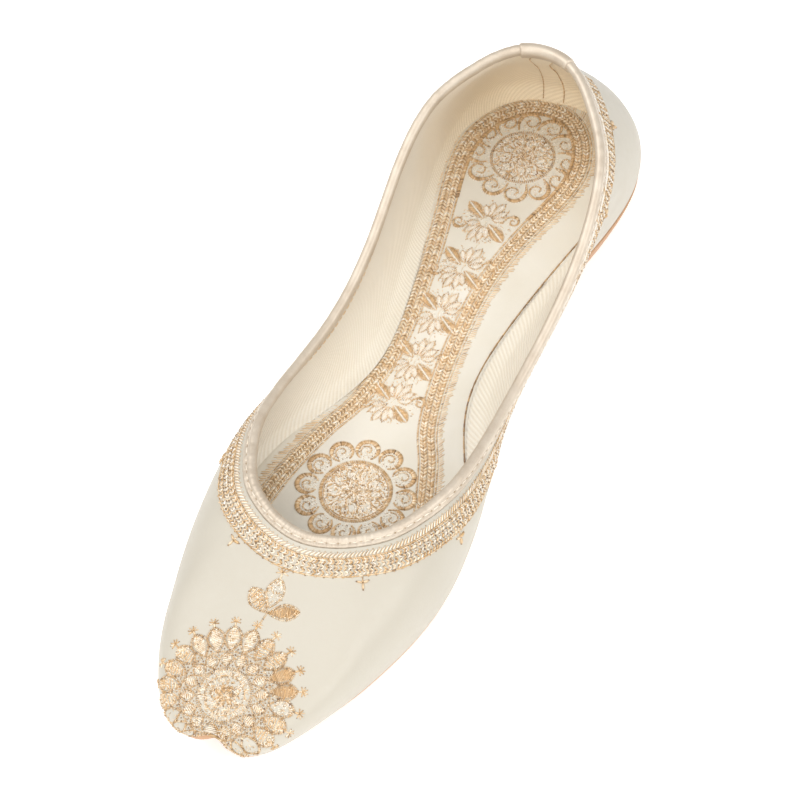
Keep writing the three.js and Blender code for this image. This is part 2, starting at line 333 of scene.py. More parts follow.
class Nodes:
    """A short way to build a material's nodes."""

    def __init__(self, name):
        self.material = bpy.data.materials.new(name)
        self.material.use_nodes = True
        self.tree = self.material.node_tree
        self.shader = self.tree.nodes["Principled BSDF"]
        self.object_space = self.add("ShaderNodeTexCoord").outputs["Object"]

    def add(self, kind, inputs=None, **settings):
        node = self.tree.nodes.new(kind)
        for key, value in settings.items():
            setattr(node, key, value)
        for key, value in (inputs or {}).items():
            self.put(node.inputs[key], value)
        return node

    def put(self, socket, value):
        if isinstance(value, bpy.types.NodeSocket):
            self.tree.links.new(value, socket)
        else:
            socket.default_value = value

    def noise(self, size_mm, detail=3, roughness=0.5):
        """Noise whose features are about size_mm across."""
        inputs = {"Vector": self.object_space, "Scale": 1 / (size_mm * MM), "Detail": detail}
        return self.add("ShaderNodeTexNoise", {**inputs, "Roughness": roughness}).outputs["Fac"]

    def split(self, vector):
        return self.add("ShaderNodeSeparateXYZ", {"Vector": vector}).outputs

    def ramp(self, value, low, high, to=(0, 1)):
        """value mapped from low..high to two numbers."""
        limits = {"From Min": low, "From Max": high, "To Min": to[0], "To Max": to[1]}
        return self.add("ShaderNodeMapRange", {"Value": value, **limits}).outputs["Result"]

    def mix(self, factor, first, second):
        """A mix of two colours, each a triple or another node's colour."""
        node = self.add("ShaderNodeMix", data_type="RGBA")
        pair = {"Factor": factor, "A": first, "B": second}
        for socket in node.inputs:
            if socket.enabled and socket.name in pair:
                value = pair[socket.name]
                self.put(socket, (*value, 1) if isinstance(value, tuple) else value)
        return next(socket for socket in node.outputs if socket.enabled)

    def maths(self, operation, first, second=0.0):
        node = self.add("ShaderNodeMath", operation=operation)
        self.put(node.inputs[0], first)
        self.put(node.inputs[1], second)
        return node.outputs[0]

    def wave(self, value, pitch):
        return self.maths("SINE", self.maths("MULTIPLY", value, 2 * math.pi / pitch))

    def tone(self):
        return self.add("ShaderNodeAttribute", attribute_name="tone").outputs["Fac"]

    def bump(self, height, distance_mm, strength=1.0, under=None):
        inputs = {"Height": height, "Distance": distance_mm * MM, "Strength": strength}
        if under is not None:
            inputs["Normal"] = under
        return self.add("ShaderNodeBump", inputs).outputs["Normal"]

    def finish(self, **sockets):
        for key, value in sockets.items():
            self.put(self.shader.inputs[key.replace("_", " ")], value)
        return self.material


def leather():
    """Cream faux leather with a soft satin face, a fine pebble and faint clouding."""
    n = Nodes("smooth_leather")
    cloud = n.noise(38, 2)
    mottle = n.noise(2.2, 4, 0.6)
    base = n.mix(n.ramp(cloud, *CLOUD), (0.535, 0.50, 0.425), (0.57, 0.535, 0.46))
    base = n.mix(n.ramp(mottle, 0.35, 0.75, (0, 0.10)), base, (0.56, 0.50, 0.40))
    cells = {"Vector": n.object_space, "Scale": 1 / (0.55 * MM)}
    pebble = n.add("ShaderNodeTexVoronoi", cells).outputs["Distance"]
    normal = n.bump(pebble, 0.05, 0.35)
    normal = n.bump(n.noise(0.22, 2), 0.02, 0.3, normal)
    normal = n.bump(n.noise(9, 2), 0.25, 0.35, normal)
    rough = n.ramp(mottle, *CLOUD, (0.40, 0.50))
    return n.finish(Base_Color=base, Roughness=rough, Normal=normal, Specular_IOR_Level=0.45)


def pearl():
    """The binding: a pale gold foil leather, pearly, with fine wrinkles across the fold."""
    n = Nodes("pearl_binding")
    cloud = n.noise(6, 3)
    base = n.mix(n.ramp(cloud, *CLOUD), (0.56, 0.47, 0.37), (0.65, 0.57, 0.47))
    fine = n.noise(0.5, 3, 0.6)
    base = n.mix(n.ramp(fine, 0.45, 0.8, (0, 0.2)), base, (0.88, 0.82, 0.73))
    normal = n.bump(n.noise(5, 2), 0.12, 0.3)
    normal = n.bump(n.noise(0.2, 2), 0.02, 0.4, normal)
    rough = n.ramp(fine, *CLOUD, (0.42, 0.54))
    coat = {"Coat_Weight": 0.08, "Coat_Roughness": 0.3}
    return n.finish(Base_Color=base, Roughness=rough, Normal=normal, Metallic=0.35, **coat)


def twill():
    """The lining: cream cloth with fine diagonal ribs, in the wall's own mm, with painted shade in the ribs'
    grooves, and lighter and yellower round the heel from painted warm bounce light.
    """
    n = Nodes("twill_lining")
    place = n.split(n.add("ShaderNodeUVMap", uv_map="wall").outputs["UV"])
    slant = n.maths("MULTIPLY", n.maths("SUBTRACT", place["X"], place["Y"]), 0.7)
    rib = n.wave(slant, 0.9)
    cross = n.wave(n.maths("ADD", place["X"], place["Y"]), 0.6)
    weave = n.maths("ADD", rib, n.maths("MULTIPLY", cross, 0.35))
    cloud = n.noise(22, 3)
    base = n.mix(n.ramp(cloud, *CLOUD), (0.81, 0.755, 0.65), (0.85, 0.805, 0.715))
    # Lighter and yellower towards the heel's back: painted warm bounce light.
    along = n.split(n.object_space)["X"]
    base = n.mix(n.ramp(along, -70 * MM, -112 * MM, (0, 0.55)), base, (0.96, 0.79, 0.53))
    # Darker in the ribs' grooves: painted shade.
    base = n.mix(n.ramp(weave, -1.3, 0.9, (0.30, 0)), base, (0.56, 0.45, 0.29))
    normal = n.bump(weave, 0.08, 0.6)
    normal = n.bump(n.noise(7, 2), 0.35, 0.4, normal)
    return n.finish(Base_Color=base, Roughness=0.7, Normal=normal, Sheen_Weight=0.25, Sheen_Roughness=0.4)


def satin_cloth():
    """The sock: smooth cream cloth with a close weave, a little painted shade in the weave's hollows, and a
    soft sheen.
    """
    n = Nodes("sock_satin")
    place = n.split(n.object_space)
    pitch = 0.45 * MM
    weave = n.maths("MULTIPLY", n.wave(place["X"], pitch), n.wave(place["Y"], pitch))
    cloud = n.noise(16, 3)
    base = n.mix(n.ramp(cloud, *CLOUD), (0.72, 0.68, 0.59), (0.76, 0.73, 0.66))
    # Darker in the weave's hollows: a little painted shade.
    base = n.mix(n.ramp(weave, -1, 1, (0.05, 0)), base, (0.60, 0.50, 0.34))
    normal = n.bump(weave, 0.03, 0.25)
    normal = n.bump(n.noise(4, 3), 0.22, 0.5, normal)
    return n.finish(Base_Color=base, Roughness=0.55, Normal=normal, Sheen_Weight=0.2, Sheen_Roughness=0.35)


def rubber():
    """Moulded tan rubber with a matt skin, faint flow marks and a darker colour on its proud pattern."""
    n = Nodes("moulded_rubber")
    cloud = n.noise(14, 4)
    base = n.mix(n.ramp(cloud, *CLOUD), (0.50, 0.27, 0.135), (0.58, 0.335, 0.18))
    speck = n.noise(0.6, 3, 0.7)
    base = n.mix(n.ramp(speck, 0.5, 0.8, (0, 0.25)), base, (0.66, 0.43, 0.27))
    # Darker on the proud pattern, which the tone carries.
    base = n.mix(n.ramp(n.tone(), 0.1, 0.9, (0, 0.45)), base, (0.34, 0.16, 0.07))
    normal = n.bump(speck, 0.04, 0.5)
    rough = n.ramp(cloud, *CLOUD, (0.42, 0.56))
    return n.finish(Base_Color=base, Roughness=rough, Normal=normal, Specular_IOR_Level=0.4)


def thread(name, dark, middle, light, metallic):
    """Metallic embroidery thread: each stitch has its own tone, from painted shade for a needle hole to a
    bright thread, and its brightest stitches are painted glints.
    """
    n = Nodes(name)
    tone = n.tone()
    low = n.mix(n.ramp(tone, 0.0, 0.5), dark, middle)
    base = n.mix(n.ramp(tone, 0.5, 1.0), low, light)
    strand = n.noise(0.16, 2, 0.6)
    # Lighter flecks along the strands: painted glints.
    base = n.mix(n.ramp(strand, 0.4, 0.75, (0, 0.35)), base, light)
    normal = n.bump(strand, 0.05, 0.7)
    rough = n.ramp(n.noise(0.8, 2), *CLOUD, (0.30, 0.46))
    return n.finish(Base_Color=base, Roughness=rough, Normal=normal, Metallic=metallic)


LEATHER = leather()
PEARL = pearl()
TWILL = twill()
SATIN = satin_cloth()
RUBBER = rubber()
# Each thread's dark colour is painted shade, for needle holes and the gaps between stitches.
GOLD = thread("gold_stitching", (0.20, 0.09, 0.03), (0.71, 0.46, 0.215), (0.98, 0.87, 0.69), 0.2)
SILVER = thread("silver_stitching", (0.44, 0.31, 0.17), (0.86, 0.72, 0.53), (0.98, 0.93, 0.85), 0.12)


# ------------------------------------------------------------------ the upper and its lining
ROW_STEPS = 24
AROUND = np.arange(0, RING_SIZE, 1 / ROW_STEPS)
COLLAR_ROWS = np.linspace(0, RING_SIZE, 901)
COLLAR_RUN = run_lengths(collar_line(COLLAR_ROWS))
# The lining's seams at the heel: mm round the collar from the back, and mm below the collar's edge.
HEEL_SEAMS = (
    ((4.4, 3.0), (6.2, 12.0), (6.2, 22.0), (5.6, 34.0), (5.2, 49.0)),
    ((-2.6, 3.0), (0.6, 12.0), (2.6, 22.0), (2.4, 34.0), (1.4, 49.0)),
)
RIM_DEPTH = 1.2
LEATHER_THICKNESS = 0.85
LINING_FACE = -WALL
FILLET = {"reach": 5.0, "depth": 3.0, "more_reach": 4.0, "more_depth": 2.5}
TAPE_HEIGHT = 0.55
LINING_START = 2.4
# How many points there are down the leather's face, its back and the lining's face.
FACE_POINTS = 64
BACK_POINTS = 10
LINING_POINTS = 44


def depths_to_foot(u, start, count):
    """Depths spread evenly from a start below the collar's edge to the foot of each meridian."""
    _, lengths = wall_lengths(u)
    share = np.linspace(0, 1, count)
    return start + (lengths[:, -1:] - start) * share, lengths[:, -1:]


# Soft troughs in the leather: where each starts and ends, as meridian and share of the wall's height from
# the foot, how wide it is and how deep, in mm.
CREASES = (
    ((3.2, 0.30), (4.6, 0.55), 3.5, 0.30),
    ((5.2, 0.25), (6.6, 0.40), 2.6, 0.28),
    ((7.2, 0.20), (8.6, 0.32), 4.0, 0.22),
    ((21.6, 0.22), (23.0, 0.34), 4.0, 0.25),
    ((23.6, 0.42), (25.2, 0.28), 2.8, 0.30),
    ((26.0, 0.55), (27.2, 0.35), 3.2, 0.26),
    ((28.2, 0.22), (29.4, 0.30), 3.0, 0.20),
    ((0.6, 0.25), (1.9, 0.33), 3.0, 0.22),
)
# About how far apart two meridians are, how high the wall is, and how much a crease bows.
ROW_MM = 20
WALL_MM = 36
CREASE_BOW = 1.2


def crease_depth(u, share):
    """How far the creases push the leather in at meridian u and a share of the wall's height."""
    total = np.zeros_like(share)
    place = np.stack([np.broadcast_to(u[:, None], share.shape) * ROW_MM, share * WALL_MM], -1)
    for start, end, width, depth in CREASES:
        start, end = (np.array([row * ROW_MM, height * WALL_MM]) for row, height in (start, end))
        length = np.linalg.norm(end - start)
        forward = (end - start) / length
        along = (place - start) @ forward
        across = (place - start) @ np.array([-forward[1], forward[0]])
        across = across - CREASE_BOW * np.sin(along / length * math.pi)
        rise = smoothstep(along, -0.1 * length, 0.35 * length)
        fall = 1 - smoothstep(along, 0.65 * length, 1.1 * length)
        total += depth * rise * fall * np.exp(-((across / width) ** 2))
    return total


def make_upper():
    u = AROUND
    depths, length = depths_to_foot(u, RIM_DEPTH, FACE_POINTS)
    from_foot = length - depths
    turned_in = 0.7 * np.clip(1 - from_foot / 1.3, 0, 1) ** 2
    outer_offset = -turned_in - crease_depth(u, from_foot / length)
    outer, _ = wall(u, levels_below(u, depths), outer_offset)
    inner_depths, _ = depths_to_foot(u, RIM_DEPTH, BACK_POINTS)
    inner, _ = wall(u, levels_below(u, inner_depths), np.full((1, BACK_POINTS), -LEATHER_THICKNESS))
    outer = cleft(outer)
    rings = np.concatenate([outer[:, ::-1], cleft(inner)], axis=1)
    ring_piece("upper_leather", rings, LEATHER, ["upper"])
    return outer


def make_lining():
    u = AROUND
    depths, length = depths_to_foot(u, LINING_START, LINING_POINTS)
    from_foot = length - depths
    # The padded corner between wall and sock is fuller round the heel's back.
    heel = 1 - smoothstep(foot_line(u)[:, :1], -112, -92)
    reach = FILLET["reach"] + FILLET["more_reach"] * heel
    fillet = (FILLET["depth"] + FILLET["more_depth"] * heel) * np.clip(1 - from_foot / reach, 0, 1) ** 2
    levels = levels_below(u, depths)
    run = np.interp(u, COLLAR_ROWS, COLLAR_RUN)
    run = np.where(u > LAST_ROW, run - COLLAR_RUN[-1], run)
    tape = np.zeros_like(depths)
    for seam, side in zip(HEEL_SEAMS, (-1, 1)):
        marks = np.array(seam)
        line = np.interp(depths, marks[:, 1], marks[:, 0])
        tape += (0.5 + side * 0.5 * np.tanh((run[:, None] - line) / 0.3)) / 2
    face, normals = wall(u, levels, LINING_FACE - fillet - TAPE_HEIGHT * smoothstep(tape, 0.5, 1.0))
    columns = np.append(np.arange(0, LINING_POINTS - 1, 11), LINING_POINTS - 1)
    back, _ = wall(u, levels[:, columns], np.full((1, len(columns)), -LEATHER_THICKNESS - 0.05))
    rings = np.concatenate([cleft(back)[:, ::-1], cleft(face)], axis=1)
    down = np.concatenate([depths[:, columns][:, ::-1], depths], axis=1)
    uv = np.stack([np.broadcast_to(run[:, None], down.shape), down], -1).reshape(-1, 2)
    ring_piece("lining", rings, TWILL, uv=uv)

    def find(coords):
        i = np.interp(coords[..., 0] % COLLAR_RUN[-1], COLLAR_RUN, COLLAR_ROWS * ROW_STEPS) % len(u)
        reach = np.interp(i, np.arange(len(u)), length[:, 0]) - LINING_START
        return i, (coords[..., 1] - LINING_START) / reach * (LINING_POINTS - 1)

    return Surface(cleft(face), -normals, find, wraps=True)


# ------------------------------------------------------------------ the binding and its patch
SEAM_VALLEY = {"up": 1.45, "depth": 0.22}
STRIP_THICKNESS = 0.62
CLEAR = 0.02
# How much fuller than the strip's own thickness the binding is, and the patch at its ends and its middle.
BINDING_FULLNESS = 0.08
PATCH_FULLNESS = (0.12, 0.55)
# Small waves along the binding's edge: height in mm, pace and start.
BINDING_WAVES = ((0.05, 9.7, 0), (0.04, 23.1, 1), (0.03, 41.3, 2))


def strip_ring(u, outer_depth, inner_depth, extra, lower_round=0.45):
    """Rings of points round a folded strip over the rim, for each meridian: out, over, in and back."""
    middle = -WALL / 2
    leg = 12
    shares = np.linspace(0, 1, leg)

    def thickness(depth, end):
        """The strip's leg: full at the top, thinner down the leg, rounded off at its end, with a sewn dip."""
        body = STRIP_THICKNESS + extra - 0.22 * smoothstep(depth, CRUST, end)
        edge = np.clip((end - depth) / lower_round, 0, 1)
        dip = SEAM_VALLEY["depth"] * np.exp(-(((end - SEAM_VALLEY["up"] - depth) / 0.55) ** 2))
        return body * np.sqrt(1 - (1 - edge) ** 2) - dip * (edge >= 1)

    def leg_points(end, outside):
        depths = end - (end - CRUST) * shares**0.8
        if outside:
            offsets = thickness(depths, end)
        else:
            offsets = -WALL - thickness(depths, end)
        return wall(u, levels_below(u, depths[None, :]), offsets[None, :])[0]

    outer = leg_points(outer_depth, True)
    inner = leg_points(inner_depth, False)[:, ::-1]
    top = levels_below(u, np.array([[CRUST]]))
    base, normal = wall(u, top, np.array([[middle]]))
    up = unit(bezier_slope(meridians(u), top))
    radius = WALL / 2 + STRIP_THICKNESS + extra
    angles = np.radians(np.arange(12, 180, 12))[None, :, None]
    crest = base + normal * radius * np.cos(angles) + up * radius * np.sin(angles)

    def under(depths, offset):
        return wall(u, levels_below(u, np.array([depths])), np.full((1, 2), offset))[0][:, ::-1]

    under_out = under([outer_depth - 0.1, CRUST], CLEAR)
    under_in = under([CRUST, inner_depth - 0.1], -WALL - CLEAR)
    return np.concatenate([outer, crest, inner, under_in, under_out], axis=1)


def make_binding():
    u = AROUND
    rings = strip_ring(u, BINDING_OUTER, BINDING_INNER, BINDING_FULLNESS)
    rings[..., 2] += sum(height * np.sin(u * pace + start) for height, pace, start in BINDING_WAVES)[:, None]
    ring_piece("binding", cleft(rings), PEARL, ["collar_binding"])


def make_patch():
    """The short piece of the same strip over the join at the back, a little thicker and rounded off."""
    share = np.linspace(-1, 1, 61)
    u = share * (PATCH_HALF_TURN - 0.05)
    flat, full = (strip_ring(u % RING_SIZE, PATCH_OUTER, PATCH_INNER, extra) for extra in PATCH_FULLNESS)
    edge = np.clip((1 - np.abs(share)) / 0.09, 0, 1)
    swell = np.sqrt(1 - (1 - edge) ** 2)[:, None, None]
    rings = flat + (full - flat) * swell
    ring_piece("binding_patch_strip", rings, PEARL, ["binding_patch"], capped=True)


# ------------------------------------------------------------------ the sock pad
SOCK_INSET = 2.2
SOCK_EDGE = 1.5
SOCK_CROWN = 0.5
SOCK_ROUNDING = 1.1
SOCK_STATIONS = stations((0.04, 1, 26), (1, 13, 200), (13, 14.6, 20))
SOCK_ACROSS = np.sin(np.linspace(-math.pi / 2, math.pi / 2, 61))


def half_width_at(x, inset):
    """Half the width of the foot line, moved in by an inset, at x."""
    u = np.linspace(0.02, LAST_ROW - 0.02, 600)
    line = foot_line(u) - outwards(foot_line, u) * inset
    return np.interp(x, line[:, 0], -line[:, 1])


def sock_top(x, y):
    """The height of the pad's top: crowned, and rounded off at its edge."""
    half = np.maximum(half_width_at(x, SOCK_INSET), 0.01)
    edge = np.clip((half - np.abs(y)) / SOCK_EDGE, 0, 1)
    crown = SOCK_CROWN * (1 - np.clip(np.abs(y) / half, 0, 1) ** 2)
    drop = SOCK_ROUNDING * (1 - np.sqrt(1 - (1 - edge) ** 2))
    return sole_top(x) + GAP + SOCK_THICKNESS - 0.1 + crown - drop


def make_sock():
    line = foot_line(SOCK_STATIONS) - outwards(foot_line, SOCK_STATIONS) * SOCK_INSET
    x = line[:, :1] + 0 * SOCK_ACROSS
    y = -line[:, 1:2] * SOCK_ACROSS
    top = np.stack([x, y, sock_top(x, y)], -1)
    bottom = np.stack([x, y, sole_top(x) + GAP + CLEAR], -1)[:, ::-1]
    rings = cleft(np.concatenate([top, bottom], axis=1))
    pad = ring_piece("sock_pad", rings, SATIN, ["insole"], capped=True)


# ------------------------------------------------------------------ the sole
TREAD_DEPTH = 0.8
# The sole's toe is set a little to -Y and forward: how far, and from which x to which.
TOE_SHIFT = (0.9, 84, 114)
TOE_FORWARD = (0.5, 96, 116)
OUTLINE_POINTS = 1600
SOLE_STATIONS = stations((0.012, 1, 40), (1, 13, 400), (13, 14.9, 60))
SOLE_ACROSS = np.linspace(-1, 1, 157)
# The sole's side from below: lift and inward in units of the bevel, then share of the height and bulge in mm.
BEVEL_PROFILE = ((0.12, 0.62), (0.4, 0.22), (1.0, 0.0))
SIDE_PROFILE = ((0.2, 0.06), (0.45, 0.16), (0.7, 0.14), (0.86, 0.05), (0.93, -0.18), (1.0, -0.3))
# How far the sole's top reaches into the space under the upper, and its margin there.
SEAT = {"lift": 0.12, "inset": 0.4}
# How many places are compared with the outline at once.
CHUNK = 4000


def ridge(distance, half_width):
    """1 on a line's middle, falling to 0 past its half width."""
    return 1 - smoothstep(np.abs(distance), 0.55 * half_width, 1.25 * half_width)


def turned(x, y, centre, angle):
    """How far places are from a centre, along an angle and across it."""
    along = (x - centre[0]) * math.cos(angle) + (y - centre[1]) * math.sin(angle)
    across = -(x - centre[0]) * math.sin(angle) + (y - centre[1]) * math.cos(angle)
    return along, across


def distance(x, y, centre, reach=0, angle=0):
    """How far places are from a point, which is some reach from a centre at an angle."""
    return np.hypot(x - centre[0] - reach * math.cos(angle), y - centre[1] - reach * math.sin(angle))


def angles_round(count, first=0):
    return [math.radians(360 / count * k + first) for k in range(count)]


def flower(x, y, centre, petals, first, **petal):
    """Petals all round a centre."""
    return [petal_rings(x, y, centre, angle, **petal) for angle in angles_round(petals, first)]


def petal_rings(x, y, centre, angle, reach, length, width):
    """A petal outlined twice, as two moulded ridges."""
    middle = (centre[0] + reach * math.cos(angle), centre[1] + reach * math.sin(angle))
    along, across = turned(x, y, middle, angle)
    taper = width * (1 + 0.28 * along / length)
    radius = np.sqrt((along / length) ** 2 + (across / taper) ** 2)
    return np.maximum(ridge((radius - 1) * width, 0.5), ridge((radius - 0.55) * width, 0.42))


# The forepart's flowers: where they are, then each one's petals, ring and dots, in mm from its centre and
# degrees round it.
FLOWERS = ((27, 0), (60, 15.4), (60, -15.4), (92.5, 0))
FLOWER = {"petals": 6, "first": 30, "reach": 8.9, "length": 4.9, "width": 3.6}
FLOWER_RING = 3.4
FLOWER_DOTS = 1.7
# The heel's rosette.
ROSETTE_CENTRE = (-93, 0)
ROSETTE = {"petals": 10, "first": 0, "reach": 9.6, "length": 5.2, "width": 2.7}
ROSETTE_RING = 3.6
ROSETTE_DOTS = {"count": 20, "reach": 19.0}
WAIST_RING = {"centre": (-2, 0), "radius": 6.6}
WAIST_BAR = 8
# Each group of three strokes: x, y and the way they run, in degrees.
LEAF_STROKES = ((44.5, 0, 90), (38, 23, -35), (38, -23, 35), (77, 0, 90), (80, 19, 60), (80, -19, -60))
LEAF_STROKES += ((14, 19, 90), (14, -19, 90), (106, 9, -30), (106, -9, 30))


def tread(x, y, edge, perimeter):
    """How far the moulded pattern stands proud of the tread's ground, from 0 to 1."""
    dashes = ridge(edge - 3.0, 1.05) * ridge(np.mod(perimeter, 5.0) - 2.5, 1.65)
    rims = np.maximum(ridge(edge - 0.7, 0.9), ridge(edge - 5.6, 0.5))
    under_waist = (x > along_x(HEEL_FRONT)) & (x < along_x(TREAD_START) - 5)
    raised = [np.where(under_waist, 0, np.maximum(dashes, rims))]
    for centre in FLOWERS:
        raised += flower(x, y, centre, **FLOWER)
        raised.append(ridge(distance(x, y, centre) - FLOWER_RING, 0.45))
        for angle in angles_round(FLOWER["petals"], FLOWER["first"]):
            raised.append(1 - smoothstep(distance(x, y, centre, FLOWER_DOTS, angle), 0.35, 0.75))
    raised += flower(x, y, ROSETTE_CENTRE, **ROSETTE)
    raised.append(ridge(distance(x, y, ROSETTE_CENTRE) - ROSETTE_RING, 0.5))
    for angle in angles_round(ROSETTE_DOTS["count"]):
        dot = distance(x, y, ROSETTE_CENTRE, ROSETTE_DOTS["reach"], angle)
        raised.append(np.where(edge > 7, 1 - smoothstep(dot, 0.6, 1.1), 0))
    for *centre, degrees in LEAF_STROKES:
        along, across = turned(x, y, centre, math.radians(degrees))
        for shift in (-2.2, 0, 2.2):
            stroke = ridge(across - shift - 0.03 * along**2, 0.5) * (1 - smoothstep(np.abs(along), 2.4, 3.4))
            raised.append(np.where(edge > 6.6, stroke, 0))
    raised.append(np.where(edge > 6, ridge(x - WAIST_BAR, 0.5), 0))
    raised.append(ridge(distance(x, y, WAIST_RING["centre"]) - WAIST_RING["radius"], 0.5))
    return np.maximum.reduce(raised)


def edge_distance(x, y, outline, lengths):
    """For each place, how far it is from the outline and where along the outline that is."""
    flat = np.stack([x.ravel(), y.ravel()], -1)
    nearest, where = np.empty((2, len(flat)))
    for start in range(0, len(flat), CHUNK):
        part = slice(start, start + CHUNK)
        squares = ((flat[part, None] - outline[None]) ** 2).sum(-1)
        found = squares.argmin(1)
        nearest[part] = np.sqrt(squares[np.arange(len(found)), found])
        where[part] = lengths[found]
    return nearest.reshape(x.shape), where.reshape(x.shape)


def make_sole():
    u = SOLE_STATIONS
    margin = HEEL_MARGIN + (TOE_MARGIN - HEEL_MARGIN) * smoothstep(u, 3, LAST_ROW)
    sides = outwards(foot_line, u)
    taper = SOLE_TAPER + HEEL_TAPER * (1 - smoothstep(foot_line(u)[:, 0], along_x(0.3), along_x(0.46)))

    def rib(outside, across):
        line = foot_line(u) + sides * outside[:, None]
        x, y = line[:, :1] + 0 * across, -line[:, 1:2] * across
        forward, shift = (amount * smoothstep(x, low, high) for amount, low, high in (TOE_FORWARD, TOE_SHIFT))
        return x + forward, y - shift

    tread_x, tread_y = rib(margin - taper - SOLE_BEVEL, SOLE_ACROSS)
    flat = np.stack([tread_x, tread_y], -1)
    outline = np.concatenate([flat[:, -1], flat[::-1, 0]])
    dense = np.linspace(0, len(outline) - 1, OUTLINE_POINTS)
    outline = np.stack([np.interp(dense, np.arange(len(outline)), outline[:, c]) for c in (0, 1)], -1)
    edge, perimeter = edge_distance(tread_x, tread_y, outline, run_lengths(outline))
    proud = tread(tread_x, tread_y, edge, perimeter)
    ground = TREAD_DEPTH * (1 - proud) * smoothstep(edge, 0.0, 0.6)
    bottom = np.stack([tread_x, tread_y, sole_bottom(tread_x) + ground], -1)[:, ::-1]
    sections = []
    for side in (-1, 1):
        across = np.array([side])
        profile = []
        for lift, inward in BEVEL_PROFILE:
            x, y = rib(margin - taper - SOLE_BEVEL * inward, across)
            profile.append(np.stack([x, y, sole_bottom(x) + lift * SOLE_BEVEL], -1))
        for share, bulge in SIDE_PROFILE:
            x, y = rib(margin - taper * (1 - share) + bulge, across)
            low = sole_bottom(x) + SOLE_BEVEL
            profile.append(np.stack([x, y, low + (sole_top(x) + SEAT["lift"] - low) * share], -1))
        sections.append(np.concatenate(profile, axis=1))
    top_x, top_y = rib(margin - SEAT["inset"], np.array([-0.6, 0.0, 0.6]))
    top = np.stack([top_x, top_y, sole_top(top_x) + SEAT["lift"]], -1)
    rings = cleft(np.concatenate([bottom, sections[0], top, sections[1][:, ::-1]], axis=1))
    tones = np.zeros(rings.shape[:2])
    tones[:, : len(SOLE_ACROSS)] = proud[:, ::-1]
    ring_piece("moulded_sole", rings, RUBBER, ["outsole"], capped=True, tones=tones.ravel())


# ------------------------------------------------------------------ stitches
# Each look of a stitch is its width and height in mm.
FINE = (0.30, 0.26)
PLAIN = (0.42, 0.38)
THICK = (0.58, 0.50)
BOLD = (0.80, 0.60)
# The look of dark dots that paint the shade in needle holes and gaps.
SHADE_DOT = (0.55, 0.50)
SHORT = 1.15


class Thread:
    """Collects stitches on one surface and turns them into one mesh of small rounded threads."""

    # A thread's section: steps across in its width, and up in its height.
    RING = ((-0.5, 0.0), (0.0, 1.0), (0.5, 0.0), (0.0, -0.35))

    def __init__(self, name, material, surface):
        self.name = name
        self.material = material
        self.surface = surface
        self.parts = []

    def add(self, stitches, look=PLAIN, tone=0.6, spread=0.14):
        """Stitches, as starts and ends in the surface's coordinates, each with its own tone round a mean."""
        starts, ends = (np.asarray(part, dtype=float).reshape(-1, 2) for part in stitches)
        first, first_normal = self.surface.at(starts)
        second, second_normal = self.surface.at(ends)
        size = np.array(look) * (1 + 0.10 * RNG.standard_normal((len(starts), 1)))
        tones = tone + spread * RNG.standard_normal(len(starts))
        self.parts.append((first, second, unit(first_normal + second_normal), size, tones))

    def faces(self, rings):
        """A stitch's faces, from its start through some rings of four points to its end."""
        sides = [(k, (k + 1) % 4) for k in range(4)]
        last = 4 * rings - 3
        faces = [(0, 1 + a, 1 + b) for a, b in sides]
        for ring in range(1, last, 4):
            faces += [(ring + a, ring + 4 + b, ring + b) for a, b in sides]
            faces += [(ring + a, ring + 4 + a, ring + 4 + b) for a, b in sides]
        return faces + [(last + 4, last + b, last + a) for a, b in sides]

    def solids(self, rows, shares):
        """Points, faces and tones of the chosen stitches, with a ring at each share of their length."""
        first, second, normal, size, tone = (part[rows] for part in self.joined)
        side = unit(np.cross(normal, second - first))
        rise = unit(np.cross(second - first, side))
        points = [first]
        for share in shares:
            middle = first + (second - first) * share
            for across, up in self.RING:
                points.append(middle + side * (across * size[:, :1]) + rise * (up * size[:, 1:]))
        points = np.stack([*points, second], 1)
        count = points.shape[1]
        faces = np.arange(len(first))[:, None, None] * count + np.array(self.faces(len(shares)))[None]
        return points.reshape(-1, 3), faces.reshape(-1, 3), np.repeat(np.clip(tone, 0, 1), count)

    def make(self):
        self.joined = [np.concatenate(part) for part in zip(*self.parts)]
        long = np.linalg.norm(self.joined[1] - self.joined[0], axis=-1) > SHORT
        short_ones = self.solids(~long, (0.5,))
        long_ones = self.solids(long, (0.2, 0.8))
        points, tones = (np.concatenate([short_ones[k], long_ones[k]]) for k in (0, 2))
        faces = np.concatenate([short_ones[1], long_ones[1] + len(short_ones[0])])
        new_piece(self.name, points, faces.tolist(), self.material, tones=tones)


def resample(path, pitch):
    """Points at even steps of about a pitch along a path, and the directions there."""
    path = np.asarray(path, dtype=float)
    lengths = run_lengths(path)
    marks = np.linspace(0, lengths[-1], max(2, int(round(lengths[-1] / pitch))) + 1)
    points = np.stack([np.interp(marks, lengths, path[:, c]) for c in (0, 1)], -1)
    return points, unit(np.gradient(points, axis=0))


def left_of(directions):
    return np.stack([-directions[..., 1], directions[..., 0]], -1)


def polar(radius, turn):
    return np.stack([radius * np.cos(turn), radius * np.sin(turn)], -1)


def arc(centre, radius, start=0.0, sweep=2 * math.pi, count=73):
    return np.asarray(centre) + polar(radius, start + np.linspace(0, 1, count) * sweep)


def running(path, pitch, overlap=0.25):
    """Stitches end to end along a path."""
    points, _ = resample(path, pitch)
    step = points[1:] - points[:-1]
    return points[:-1] - step * overlap, points[1:] + step * overlap


def vees(path, half, pitch, slant, shift=0.0):
    """A plait: stitches that slant from both sides and meet on the path, moved on by a share of the pitch."""
    points, forward = resample(path, pitch)
    points = points + forward * pitch * shift
    left = left_of(forward) * half
    tips = points + forward * slant
    meet = left * 0.06
    return np.concatenate([points + left, points - left]), np.concatenate([tips - meet, tips + meet])


